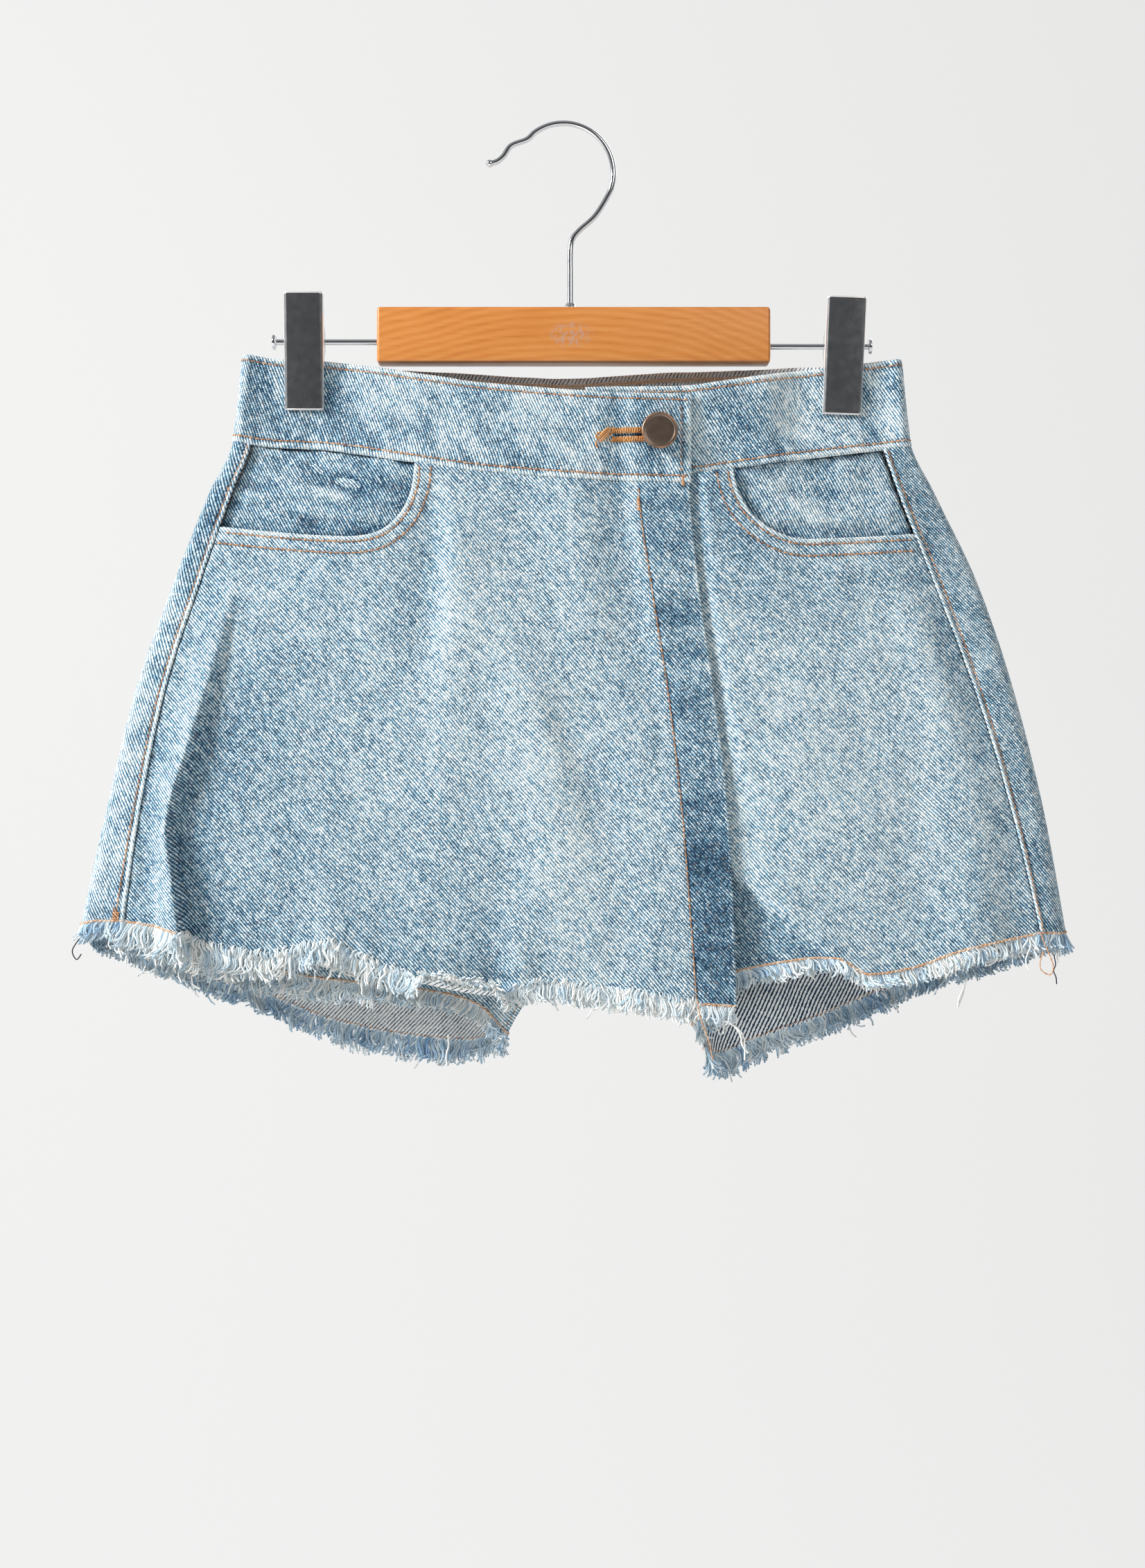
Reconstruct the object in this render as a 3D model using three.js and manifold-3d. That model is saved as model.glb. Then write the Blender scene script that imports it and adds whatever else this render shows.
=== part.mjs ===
// Denim shorts with a wrap front, hung flat from a clip hanger that holds the waistband at both ends.
// Millimetres, +Z up, the front faces -Y and the wearer's right side is at -X.
// The origin is the underside of the hook's top, where the hanger rests on a rail.
// Each cloth piece is a thin wall through points of one shared hanging form, so neighbours meet at seams.

import * as THREE from 'three';
import { mergeVertices } from 'three/addons/utils/BufferGeometryUtils.js';
import Module from 'manifold-3d';

const wasm = await Module();
wasm.setup();

// Cloth
const DENIM = 1.4;
const FACING = 1.2;
const BAND_THICK = 2.8;
const BAND_HEIGHT = 43;
const BAND_PROUD = 0.6;
const SEAM_GAP = 0.3;
const BAND_GAP = 0.5;
const LAYER_GAP = 0.35;
const HEM_GAP = 0.5;
const UNDER_FACING = DENIM + LAYER_GAP;
const UNDER_POCKET = UNDER_FACING + 0.2;
const UNDER_WRAP = UNDER_FACING + FACING + LAYER_GAP;
const UNDERLAP = BAND_THICK + 0.5;
const INNER_LEG = { seam: 1, slack: 5.5, reach: 42, from: -185, full: -250 };

// Places across the garment
const BUTTON_END = 61.5;
const UNDERLAP_END = 10;
const CROTCH = { x: 14, z: -392 };
const WAIST_BACK_X = 5;
const LEG_FOLD = 13;
const BODY_START = -143.5;
const BODY_FULL = -172;

// The garment's side edges, the side seams and the wrap's free edge at each height
const OUTLINE = [
  { z: -111, leftEdge: -157.5, leftSeam: -146, facing: 35, wrapEdge: 60.3, rightSeam: 148, rightEdge: 164.3 },
  { z: -155, leftEdge: -162.8, leftSeam: -153, facing: 35.2, wrapEdge: 60.3, rightSeam: 154.8, rightEdge: 169.4 },
  { z: -180, leftEdge: -174.5, leftSeam: -162.5, facing: 35.8, wrapEdge: 60.6, rightSeam: 162.6, rightEdge: 181.1 },
  { z: -225, leftEdge: -192.2, leftSeam: -178.4, facing: 41.7, wrapEdge: 64.8, rightSeam: 180.4, rightEdge: 202.5 },
  { z: -280, leftEdge: -211.4, leftSeam: -195.8, facing: 50.2, wrapEdge: 72.5, rightSeam: 201.2, rightEdge: 220.9 },
  { z: -340, leftEdge: -225.8, leftSeam: -207.8, facing: 57, wrapEdge: 79.3, rightSeam: 218.9, rightEdge: 235.6 },
  { z: -395, leftEdge: -238, leftSeam: -215.5, facing: 61.3, wrapEdge: 82, rightSeam: 231.7, rightEdge: 245.2 },
  { z: -470, leftEdge: -252, leftSeam: -224, facing: 66.5, wrapEdge: 84, rightSeam: 246, rightEdge: 256 },
];

// How far the front and back stand from the middle plane, and the radius of the side folds
const BODY_DEPTH = [
  { z: -150, front: 14, back: 11.5, fold: 4.6 },
  { z: -200, front: 15.5, back: 12.5, fold: 5.2 },
  { z: -300, front: 17, back: 14, fold: 6.5 },
  { z: -400, front: 19, back: 15.5, fold: 8 },
  { z: -470, front: 20, back: 16.5, fold: 8.5 },
];

// The waistband is pressed together by the clips and bows open between them
const BAND_DEPTH = [
  { x: -160, front: 4.6, back: 4.6 },
  { x: -143, front: 2.4, back: 2.4 },
  { x: -111, front: 2.4, back: 2.4 },
  { x: -84, front: 7.6, back: 6.4 },
  { x: -40, front: 12.6, back: 10.2 },
  { x: 10, front: 15, back: 12 },
  { x: 58, front: 14.6, back: 11.6 },
  { x: 98, front: 8.6, back: 7.2 },
  { x: 118, front: 2.4, back: 2.4 },
  { x: 153, front: 2.4, back: 2.4 },
  { x: 166, front: 4.6, back: 4.6 },
];

// Top edge of the waistband: the buttoned end, the end under it, and the back
const BAND_TOP_LEFT = [
  { x: -160, z: -111.6 },
  { x: -138, z: -114.8 },
  { x: -117, z: -115.8 },
  { x: -68, z: -123.2 },
  { x: -36, z: -128 },
  { x: 20, z: -132.3 },
  { x: 62, z: -133.5 },
];
const BAND_TOP_RIGHT = [
  { x: 10, z: -129.7 },
  { x: 55, z: -129 },
  { x: 82, z: -125.6 },
  { x: 109, z: -121.4 },
  { x: 137, z: -117.8 },
  { x: 166, z: -114.3 },
];
const BAND_TOP_BACK = [
  { x: -160, z: -111.6 },
  { x: -127, z: -115.4 },
  { x: -98, z: -118.4 },
  { x: -58, z: -119.6 },
  { x: 0, z: -122.1 },
  { x: 50, z: -119.2 },
  { x: 98, z: -118.4 },
  { x: 137, z: -117.8 },
  { x: 166, z: -114.3 },
];

// Raw hems, where the fringe starts
const HEM_WRAP = [
  { x: -215, z: -390 },
  { x: -187, z: -395 },
  { x: -173, z: -402 },
  { x: -143, z: -406 },
  { x: -114, z: -400.5 },
  { x: -102, z: -406.5 },
  { x: -72, z: -417 },
  { x: -30, z: -424 },
  { x: -14, z: -420 },
  { x: 29, z: -424 },
  { x: 64, z: -429.5 },
  { x: 84, z: -431 },
];
const HEM_FRONT_LEFT = [
  { x: -216, z: -391.5 },
  { x: -174, z: -404 },
  { x: -136, z: -415.5 },
  { x: -96, z: -420.5 },
  { x: -60, z: -425 },
  { x: -42, z: -431 },
  { x: -28, z: -446 },
];
const HEM_FRONT_RIGHT = [
  { x: 60, z: -446 },
  { x: 67, z: -434 },
  { x: 74, z: -422 },
  { x: 84, z: -414.5 },
  { x: 131, z: -407.5 },
  { x: 148, z: -415.5 },
  { x: 168, z: -412.6 },
  { x: 193, z: -404 },
  { x: 231, z: -396 },
];
const HEM_BACK_LEFT = [
  { x: -240, z: -393 },
  { x: -206, z: -406.5 },
  { x: -157, z: -425 },
  { x: -108, z: -442.5 },
  { x: -73, z: -448.5 },
  { x: -49, z: -450.5 },
  { x: -28, z: -446 },
];
const HEM_BACK_RIGHT = [
  { x: 60, z: -446 },
  { x: 75, z: -457 },
  { x: 94, z: -450 },
  { x: 132, z: -436.5 },
  { x: 170, z: -421 },
  { x: 208, z: -408 },
  { x: 246, z: -395.5 },
];

// Inner edge of each leg below the crotch
const INSEAM = [
  { z: -392, left: 14, right: 14 },
  { z: -410, left: -4, right: 34 },
  { z: -432, left: -20, right: 56 },
  { z: -448, left: -29, right: 66 },
  { z: -475, left: -38, right: 74 },
];

// Curved pocket mouths, from the waistband round to the side seam
const POCKET_LEFT = [
  { x: -73, z: -160 },
  { x: -74.2, z: -178 },
  { x: -81.5, z: -193 },
  { x: -96, z: -201.5 },
  { x: -125, z: -201.4 },
  { x: -172, z: -196.6 },
];
const POCKET_RIGHT = [
  { x: 80.8, z: -160 },
  { x: 83.4, z: -178 },
  { x: 92, z: -192.5 },
  { x: 109, z: -202.5 },
  { x: 131, z: -203.2 },
  { x: 176, z: -200.4 },
];
const POCKET_FACING_BELOW = 14;
const POCKET_FACING_INSIDE = 13;

// Largest folds. A fold runs through its rows. Its height is towards the outside, and left and right are the
// widths of its two flanks.
const FOLDS_FRONT = [
  [
    { z: -226, x: -162, height: 0, left: 20, right: 12 },
    { z: -255, x: -168, height: 3, left: 18, right: 9 },
    { z: -300, x: -181, height: 6.5, left: 16, right: 7 },
    { z: -345, x: -192.5, height: 9, left: 15, right: 6 },
    { z: -372, x: -188.5, height: 9.5, left: 15, right: 6 },
    { z: -430, x: -182, height: 9.5, left: 16, right: 6 },
  ],
  [
    { z: -205, x: -156, height: 0, left: 10, right: 70 },
    { z: -300, x: -181, height: 3, left: 12, right: 100 },
    { z: -372, x: -188.5, height: 4, left: 14, right: 110 },
    { z: -430, x: -182, height: 4, left: 14, right: 110 },
  ],
  [
    { z: -190, x: -60, height: 0, left: 40, right: 40 },
    { z: -300, x: -70, height: 2, left: 42, right: 44 },
    { z: -430, x: -78, height: 3.4, left: 36, right: 46 },
  ],
  [
    { z: -240, x: 12, height: 0, left: 30, right: 30 },
    { z: -430, x: 8, height: -3.4, left: 36, right: 34 },
  ],
  [
    { z: -230, x: 178, height: 0, left: 26, right: 18 },
    { z: -330, x: 196, height: 2.6, left: 30, right: 22 },
    { z: -430, x: 204, height: 3.6, left: 34, right: 24 },
  ],
];
const FOLDS_BACK = [
  [
    { z: -200, x: -110, height: 0, left: 34, right: 30 },
    { z: -330, x: -136, height: 3, left: 34, right: 30 },
    { z: -470, x: -150, height: 5, left: 32, right: 30 },
  ],
  [
    { z: -220, x: -60, height: 0, left: 26, right: 26 },
    { z: -460, x: -74, height: -3.4, left: 30, right: 28 },
  ],
  [
    { z: -200, x: 120, height: 0, left: 30, right: 34 },
    { z: -330, x: 140, height: 3.2, left: 30, right: 36 },
    { z: -470, x: 156, height: 4.6, left: 30, right: 34 },
  ],
];

// How full the cloth's cross-section is, and how soon the right front comes forward beside the wrap
const BODY_ROUND = 2.6;
const COME_FORWARD = { start: 2, reach: 62 };

// The right leg's front corner falls back below a diagonal line
const CORNER_FOLD = { x: 83, z: -366, toX: 144, toZ: -416, depth: 7, width: 16, reach: 34 };

// Fringe: one lock every few millimetres, its length read from the place along the hem
const LOCK = { pitch: 5, width: 3.5, depth: 1, tip: 0.45, root: 1.3, strip: 3 };
const FRINGE_LENGTH = [
  { x: -245, length: 13 },
  { x: -200, length: 15 },
  { x: -120, length: 12.5 },
  { x: -40, length: 9.5 },
  { x: 60, length: 11.5 },
  { x: 130, length: 10 },
  { x: 245, length: 12 },
];

// Button
const BUTTON = { x: 45.8, z: -151.9, radius: 8.85, rim: 2.4, dish: 1.9, shank: 1.9, stand: 2.6 };
const BUTTONHOLE = { length: 17, slit: 1.5, eye: 2.5 };

// Hanger
const WIRE = { radius: 1.45, sides: 4, steps: 52 };
const HOOK = { x: -0.7, radius: 24.4, start: 150, end: -27, turns: 12 };
const STEM_X = 2.6;
const BAR = { left: -91.8, right: 100.3, top: -89.7, bottom: -116.9, depth: 14.5, round: 1.2, bore: 9 };
const COLLAR = { radius: 3.4, height: 2.6, bore: 1.85 };
const ROD = { radius: 1.5, headRadius: 3.8, headThick: 1.6, fit: 0.35 };
const ROD_LEFT = { z: -106, head: -143.4 };
const ROD_RIGHT = { z: -108.2, head: 150.4 };
const CLIP = { width: 19.3, inner: 16.2, sheet: 1, above: 23, below: 34, top: 10.6, tip: 4.8, grip: 3.45 };
const CLIP_LEFT = { x: -127.4, tilt: 0 };
const CLIP_RIGHT = { x: 136.6, tilt: 0.033 };
const SPRING = { radius: 4.3, groove: 3.5, bore: 1.95, turns: 3, length: 11 };

const COLOURS = {
  denim: { color: 0x8fb0c4, roughness: 0.93, metalness: 0 },
  denimDark: { color: 0x6f93b0, roughness: 0.93, metalness: 0 },
  fringe: { color: 0xc4d6de, roughness: 0.95, metalness: 0 },
  bronze: { color: 0x6d5648, roughness: 0.45, metalness: 0.85 },
  chrome: { color: 0xb8bbbf, roughness: 0.18, metalness: 1 },
  spring: { color: 0x9a8460, roughness: 0.4, metalness: 0.9 },
  wood: { color: 0xc9873e, roughness: 0.5, metalness: 0 },
};

const model = new THREE.Group();

const clamp = (value, low, high) => Math.min(Math.max(value, low), high);
const mix = (a, b, t) => a + (b - a) * t;

function ease(t) {
  const held = clamp(t, 0, 1);
  return held * held * (3 - 2 * held);
}

// Reads column `to` of a table at a value of column `from`, on a curve that never overshoots its rows.
function track(rows, from, to) {
  const ordered = [...rows].sort((a, b) => a[from] - b[from]);
  const at = ordered.map((row) => row[from]);
  const value = ordered.map((row) => row[to]);
  const last = at.length - 1;
  const rise = at.slice(1).map((place, i) => (value[i + 1] - value[i]) / (place - at[i]));
  const slope = at.map((place, i) => {
    if (i === 0) return rise[0];
    if (i === last) return rise[last - 1];
    if (rise[i - 1] * rise[i] <= 0) return 0;
    return (2 * rise[i - 1] * rise[i]) / (rise[i - 1] + rise[i]);
  });
  return (place) => {
    if (place <= at[0]) return value[0];
    if (place >= at[last]) return value[last];
    const i = at.findIndex((next) => next > place) - 1;
    const span = at[i + 1] - at[i];
    const t = (place - at[i]) / span;
    const start = (1 + 2 * t) * (1 - t) ** 2 * value[i] + t * (1 - t) ** 2 * span * slope[i];
    const end = t * t * (3 - 2 * t) * value[i + 1] + t * t * (t - 1) * span * slope[i + 1];
    return start + end;
  };
}

const outline = (name) => track(OUTLINE, 'z', name);
const leftEdge = outline('leftEdge');
const leftSeam = outline('leftSeam');
const facingLine = outline('facing');
const wrapEdge = outline('wrapEdge');
const rightSeam = outline('rightSeam');
const rightEdge = outline('rightEdge');
const foldRadius = track(BODY_DEPTH, 'z', 'fold');
const bodyDepth = { front: track(BODY_DEPTH, 'z', 'front'), back: track(BODY_DEPTH, 'z', 'back') };
const bandDepth = { front: track(BAND_DEPTH, 'x', 'front'), back: track(BAND_DEPTH, 'x', 'back') };
const inseam = { left: track(INSEAM, 'z', 'left'), right: track(INSEAM, 'z', 'right') };
const bandTop = {
  left: track(BAND_TOP_LEFT, 'x', 'z'),
  right: track(BAND_TOP_RIGHT, 'x', 'z'),
  back: track(BAND_TOP_BACK, 'x', 'z'),
};
const below = (edge, drop) => (x) => edge(x) - drop;

function foldShapes(folds) {
  return folds.map((rows) => ({
    x: track(rows, 'z', 'x'),
    height: track(rows, 'z', 'height'),
    left: track(rows, 'z', 'left'),
    right: track(rows, 'z', 'right'),
    start: Math.max(...rows.map((row) => row.z)),
  }));
}

const folds = { front: foldShapes(FOLDS_FRONT), back: foldShapes(FOLDS_BACK) };

function foldHeight(shapes, x, z) {
  let height = 0;
  for (const fold of shapes) {
    if (z > fold.start) continue;
    const away = x - fold.x(z);
    const width = away < 0 ? fold.left(z) : fold.right(z);
    height += fold.height(z) * (1 - ease(Math.abs(away) / width));
  }
  return height;
}

// How far the cloth stands from the middle plane, on the front or the back, before its folds
function plainStandOff(side, x, z) {
  const radius = foldRadius(z);
  const left = leftEdge(z) + radius;
  const right = rightEdge(z) - radius;
  const across = clamp((2 * x - left - right) / (right - left), -1, 1);
  const body = radius + (bodyDepth[side](z) - radius) * (1 - Math.abs(across) ** BODY_ROUND);
  const share = ease((BODY_START - z) / (BODY_START - BODY_FULL));
  return mix(bandDepth[side](x), body, share);
}

function standOff(side, x, z) {
  const fromEdge = Math.min(x - leftEdge(z), rightEdge(z) - x);
  return plainStandOff(side, x, z) + foldHeight(folds[side], x, z) * ease((fromEdge - 6) / 14);
}

const frontY = (x, z) => -standOff('front', x, z);
const backY = (x, z) => standOff('back', x, z);

// Distance from a point of a leg to its inner edge, or to the crotch above it
function fromInseam(leg, x, z) {
  const side = leg === 'left' ? -1 : 1;
  if (z > CROTCH.z) return Math.hypot(x - CROTCH.x, z - CROTCH.z);
  return Math.max((x - inseam[leg](z)) * side, 0);
}

// The front and back of a leg close towards each other round its inner edge
function closing(leg, x, z) {
  const t = clamp(fromInseam(leg, x, z) / LEG_FOLD, 0, 1);
  return Math.sqrt(1 - (1 - t) ** 2);
}

function cornerDrop(x, z) {
  const run = Math.hypot(CORNER_FOLD.toX - CORNER_FOLD.x, CORNER_FOLD.toZ - CORNER_FOLD.z);
  const alongX = (CORNER_FOLD.toX - CORNER_FOLD.x) / run;
  const alongZ = (CORNER_FOLD.toZ - CORNER_FOLD.z) / run;
  const under = -((x - CORNER_FOLD.x) * -alongZ + (z - CORNER_FOLD.z) * alongX);
  const fade = ease((x - CORNER_FOLD.x + CORNER_FOLD.reach) / CORNER_FOLD.reach);
  return CORNER_FOLD.depth * ease(under / CORNER_FOLD.width) * fade;
}

// Surfaces as depth at (x, z)
const wrapSurface = (inside) => (x, z) => frontY(x, z) + inside;

// The left front hangs free behind the wrap; the right one comes forward where the wrap ends
function leftFrontDepth(x, z) {
  const fromSeam = ease((x - leftSeam(z)) / INNER_LEG.reach);
  const fromBand = ease((INNER_LEG.from - z) / (INNER_LEG.from - INNER_LEG.full));
  return -plainStandOff('front', x, z) + UNDER_WRAP + INNER_LEG.seam + INNER_LEG.slack * fromSeam * fromBand;
}

function rightFrontDepth(x, z) {
  const open = ease((x - wrapEdge(z) - COME_FORWARD.start) / COME_FORWARD.reach);
  return frontY(x, z) + UNDER_WRAP * (1 - open) + cornerDrop(x, z);
}

function shortsSurface(leg) {
  const depth = leg === 'left' ? leftFrontDepth : rightFrontDepth;
  return (x, z) => (depth(x, z) + SEAM_GAP) * closing(leg, x, z) - SEAM_GAP;
}

const backSurface = (leg) => (x, z) => (backY(x, z) - SEAM_GAP) * closing(leg, x, z) + SEAM_GAP;

const bandSurface = (x, z) => frontY(x, z) - BAND_PROUD;
const bandBackSurface = (x, z) => backY(x, z) + BAND_PROUD;

function underlapSurface(x, z) {
  return bandSurface(x, z) + UNDERLAP * (1 - ease((x - BUTTON_END - 4) / 34));
}

// A column of a wall: its point and outward direction at each height
function columnOn(surface, place, facing) {
  const reach = 0.6;
  return (z) => {
    const x = place(z);
    const across = (surface(x + reach, z) - surface(x - reach, z)) / (2 * reach);
    const up = (surface(x, z + reach) - surface(x, z - reach)) / (2 * reach);
    const normal = new THREE.Vector3(-across, 1, -up).multiplyScalar(facing).normalize();
    return { point: new THREE.Vector3(x, surface(x, z), z), normal };
  };
}

const FRONT = -1;
const BACK = 1;

// A column on the round fold at a side edge; turn 0 is the front and 1 the back
function columnOnFold(side, turn, proud) {
  const outward = side === 'left' ? -1 : 1;
  const edge = side === 'left' ? leftEdge : rightEdge;
  return (z) => {
    const radius = foldRadius(z);
    const angle = Math.PI * turn;
    const normal = new THREE.Vector3(Math.sin(angle) * outward, -Math.cos(angle), 0);
    const centre = new THREE.Vector3(edge(z) - radius * outward, 0, z);
    return { point: centre.addScaledVector(normal, radius + proud), normal };
  };
}

const foldInside = {
  left: (z) => leftEdge(z) + foldRadius(z),
  right: (z) => rightEdge(z) - foldRadius(z),
};
const between = (a, b, t) => (z) => mix(a(z), b(z), t);
const shifted = (place, by) => (z) => place(z) + by;
const evenly = (count) => Array.from({ length: count + 1 }, (unused, i) => i / count);

// The height where a column crosses an edge that is given as a height for each x
function meet(column, edge) {
  let high = -90;
  let low = -480;
  for (let step = 0; step < 26; step += 1) {
    const z = (high + low) / 2;
    if (z > edge(column(z).point.x)) high = z;
    else low = z;
  }
  return (high + low) / 2;
}

const strand = (column, topEdge, bottomEdge) => ({
  column,
  top: meet(column, topEdge),
  bottom: meet(column, bottomEdge),
});

function solidFrom(positions, triangles) {
  const geometry = new THREE.BufferGeometry();
  geometry.setAttribute('position', new THREE.Float32BufferAttribute(positions, 3));
  geometry.setIndex(triangles);
  return geometry;
}

function signedVolume(positions, triangles) {
  let volume = 0;
  for (let i = 0; i < triangles.length; i += 3) {
    const [a, b, c] = [0, 1, 2].map((k) => new THREE.Vector3().fromArray(positions, triangles[i + k] * 3));
    volume += a.dot(b.cross(c));
  }
  return volume;
}

// Closes a grid of outer points and the same grid moved inwards into one thin wall
function wallThrough(grid, thickness) {
  const rows = grid.length;
  const columns = grid[0].length;
  const outer = grid.flat().map(({ point }) => point);
  const inner = grid.flat().map(({ point, normal }) => point.clone().addScaledVector(normal, -thickness));
  const positions = [...outer, ...inner].flatMap((point) => point.toArray());
  const far = outer.length;
  const triangles = [];
  const quad = (a, b, c, d) => triangles.push(a, b, c, a, c, d);
  const index = (j, i) => j * columns + i;
  for (let j = 0; j < rows - 1; j += 1) {
    for (let i = 0; i < columns - 1; i += 1) {
      const corners = [index(j, i), index(j + 1, i), index(j + 1, i + 1), index(j, i + 1)];
      quad(...corners);
      quad(...corners.map((corner) => corner + far).reverse());
    }
  }
  const rim = [];
  for (let i = 0; i < columns - 1; i += 1) rim.push(index(0, i));
  for (let j = 0; j < rows - 1; j += 1) rim.push(index(j, columns - 1));
  for (let i = columns - 1; i > 0; i -= 1) rim.push(index(rows - 1, i));
  for (let j = rows - 1; j > 0; j -= 1) rim.push(index(j, 0));
  rim.forEach((corner, i) => {
    const next = rim[(i + 1) % rim.length];
    quad(corner, next, next + far, corner + far);
  });
  if (signedVolume(positions, triangles) < 0) triangles.reverse();
  return solidFrom(positions, triangles);
}

function clothWall(strands, heights, thickness) {
  const grid = heights.map((t) => strands.map(({ column, top, bottom }) => column(mix(top, bottom, t))));
  return wallThrough(grid, thickness);
}

function toManifold(geometry) {
  const bare = geometry.clone();
  bare.deleteAttribute('normal');
  bare.deleteAttribute('uv');
  const merged = mergeVertices(bare, 1e-4);
  return new wasm.Manifold(new wasm.Mesh({
    numProp: 3,
    vertProperties: new Float32Array(merged.attributes.position.array),
    triVerts: new Uint32Array(merged.index.array),
  }));
}

function toGeometry(manifold) {
  const mesh = manifold.getMesh();
  return solidFrom(Array.from(mesh.vertProperties), Array.from(mesh.triVerts));
}

function add(name, geometry, look, parent = model) {
  const mesh = new THREE.Mesh(geometry, new THREE.MeshStandardMaterial(COLOURS[look]));
  mesh.name = name;
  parent.add(mesh);
  return mesh;
}

// Extrudes an outline drawn in x and z along y, from `near` to `far`
function prismAlongY(shape, near, far) {
  const geometry = new THREE.ExtrudeGeometry(shape, { depth: far - near, bevelEnabled: false });
  geometry.rotateX(Math.PI / 2);
  geometry.translate(0, far, 0);
  return geometry;
}

// Turns round an axis along +Z, then lays the axis along X or Y
function turned(profile, sides, axis) {
  const geometry = new THREE.LatheGeometry(profile.map(([r, h]) => new THREE.Vector2(r, h)), sides);
  if (axis === 'x') geometry.rotateZ(-Math.PI / 2);
  if (axis === 'z') geometry.rotateX(Math.PI / 2);
  return geometry;
}

const TOP_TO_HEM = evenly(15);
const TOP_TO_LEG = [0, 0.1, 0.2, 0.3, 0.4, 0.5, 0.59, 0.67, 0.74, 0.8, 0.85, 0.9, 0.95, 1];
const TO_INSEAM = [0, 0.09, 0.18, 0.28, 0.39, 0.51, 0.63, 0.75, 0.86, 0.93, 0.965, 0.988, 1];

function pocketMouth(rows, side) {
  const corner = side === 'left' ? -1 : 1;
  const curve = new THREE.SplineCurve(rows.map(({ x, z }) => new THREE.Vector2(x, z)));
  const points = curve.getPoints(22);
  const end = rows[rows.length - 1];
  const outside = end.x + 24 * corner;
  const aboveBand = rows[0].z + 30;
  points.push(new THREE.Vector2(outside, end.z));
  points.push(new THREE.Vector2(outside, aboveBand));
  points.push(new THREE.Vector2(rows[0].x, aboveBand));
  return toManifold(prismAlongY(new THREE.Shape(points), -60, 0));
}

const seamAt = {
  left: (z) => leftSeam(z) + SEAM_GAP / 2,
  right: (z) => rightSeam(z) - SEAM_GAP / 2,
};
const panelTop = {
  left: below(bandTop.left, BAND_HEIGHT + BAND_GAP),
  right: below(bandTop.right, BAND_HEIGHT + BAND_GAP),
  back: below(bandTop.back, BAND_HEIGHT + BAND_GAP),
};
const centreFront = {
  left: (z) => (z > CROTCH.z ? CROTCH.x : inseam.left(z)) - SEAM_GAP / 2,
  right: (z) => (z > CROTCH.z ? CROTCH.x : inseam.right(z)) + SEAM_GAP / 2,
};
const centreBackX = (z) => mix(WAIST_BACK_X, CROTCH.x, ease((z + 160) / (CROTCH.z + 160)));
const centreBack = {
  left: (z) => (z > CROTCH.z ? centreBackX(z) : inseam.left(z)) - SEAM_GAP / 2,
  right: (z) => (z > CROTCH.z ? centreBackX(z) : inseam.right(z)) + SEAM_GAP / 2,
};

const hem = {
  wrap: track(HEM_WRAP, 'x', 'z'),
  frontLeft: track(HEM_FRONT_LEFT, 'x', 'z'),
  frontRight: track(HEM_FRONT_RIGHT, 'x', 'z'),
  backLeft: track(HEM_BACK_LEFT, 'x', 'z'),
  backRight: track(HEM_BACK_RIGHT, 'x', 'z'),
};

function makeWrap() {
  const surface = wrapSurface(0);
  const strands = evenly(19).map((t) => {
    const column = columnOn(surface, between(seamAt.left, wrapEdge, t), FRONT);
    return strand(column, panelTop.left, hem.wrap);
  });
  const wall = toManifold(clothWall(strands, TOP_TO_HEM, DENIM));
  add('wrap_front', toGeometry(wall.subtract(pocketMouth(POCKET_LEFT, 'left'))), 'denim');
  return strands;
}

function makeWrapFacing() {
  const surface = wrapSurface(UNDER_FACING);
  const strands = evenly(2).map((t) => {
    const column = columnOn(surface, between(facingLine, shifted(wrapEdge, -0.4), t), FRONT);
    return strand(column, panelTop.left, below(hem.wrap, -1));
  });
  add('wrap_edge_facing', clothWall(strands, evenly(14), FACING), 'denimDark');
}

function makeFront(leg) {
  const surface = shortsSurface(leg);
  const hemLine = leg === 'left' ? hem.frontLeft : hem.frontRight;
  const strands = TO_INSEAM.map((t) => {
    const column = columnOn(surface, between(seamAt[leg], centreFront[leg], t), FRONT);
    return strand(column, panelTop[leg], hemLine);
  });
  const wall = clothWall(strands, TOP_TO_LEG, DENIM);
  if (leg === 'left') {
    add('front_left', wall, 'denim');
    return strands;
  }
  const cut = toManifold(wall).subtract(pocketMouth(POCKET_RIGHT, 'right'));
  add('front_right', toGeometry(cut), 'denim');
  return strands;
}

// A back panel runs from the side seam on the front, round the side fold and over the back
function makeBack(leg) {
  const outward = leg === 'left' ? -1 : 1;
  const seam = leg === 'left' ? leftSeam : rightSeam;
  const frontHem = leg === 'left' ? hem.wrap : hem.frontRight;
  const backHem = leg === 'left' ? hem.backLeft : hem.backRight;
  const foldHem = (turn) => (x) => mix(frontHem(x), backHem(x), turn);
  const foldTop = (turn) => (x) => mix(panelTop[leg](x), panelTop.back(x), turn);
  const strands = [];
  for (const t of [0, 0.5]) {
    const from = shifted(seam, (outward * SEAM_GAP) / 2);
    const column = columnOn((x, z) => frontY(x, z), between(from, foldInside[leg], t), FRONT);
    strands.push(strand(column, panelTop[leg], frontHem));
  }
  for (const turn of evenly(4)) {
    strands.push(strand(columnOnFold(leg, turn, 0), foldTop(turn), foldHem(turn)));
  }
  for (const t of TO_INSEAM.slice(1)) {
    const column = columnOn(backSurface(leg), between(foldInside[leg], centreBack[leg], t), BACK);
    strands.push(strand(column, panelTop.back, backHem));
  }
  add(`back_${leg}`, clothWall(strands, TOP_TO_LEG, DENIM), 'denim');
  return strands;
}

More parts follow.
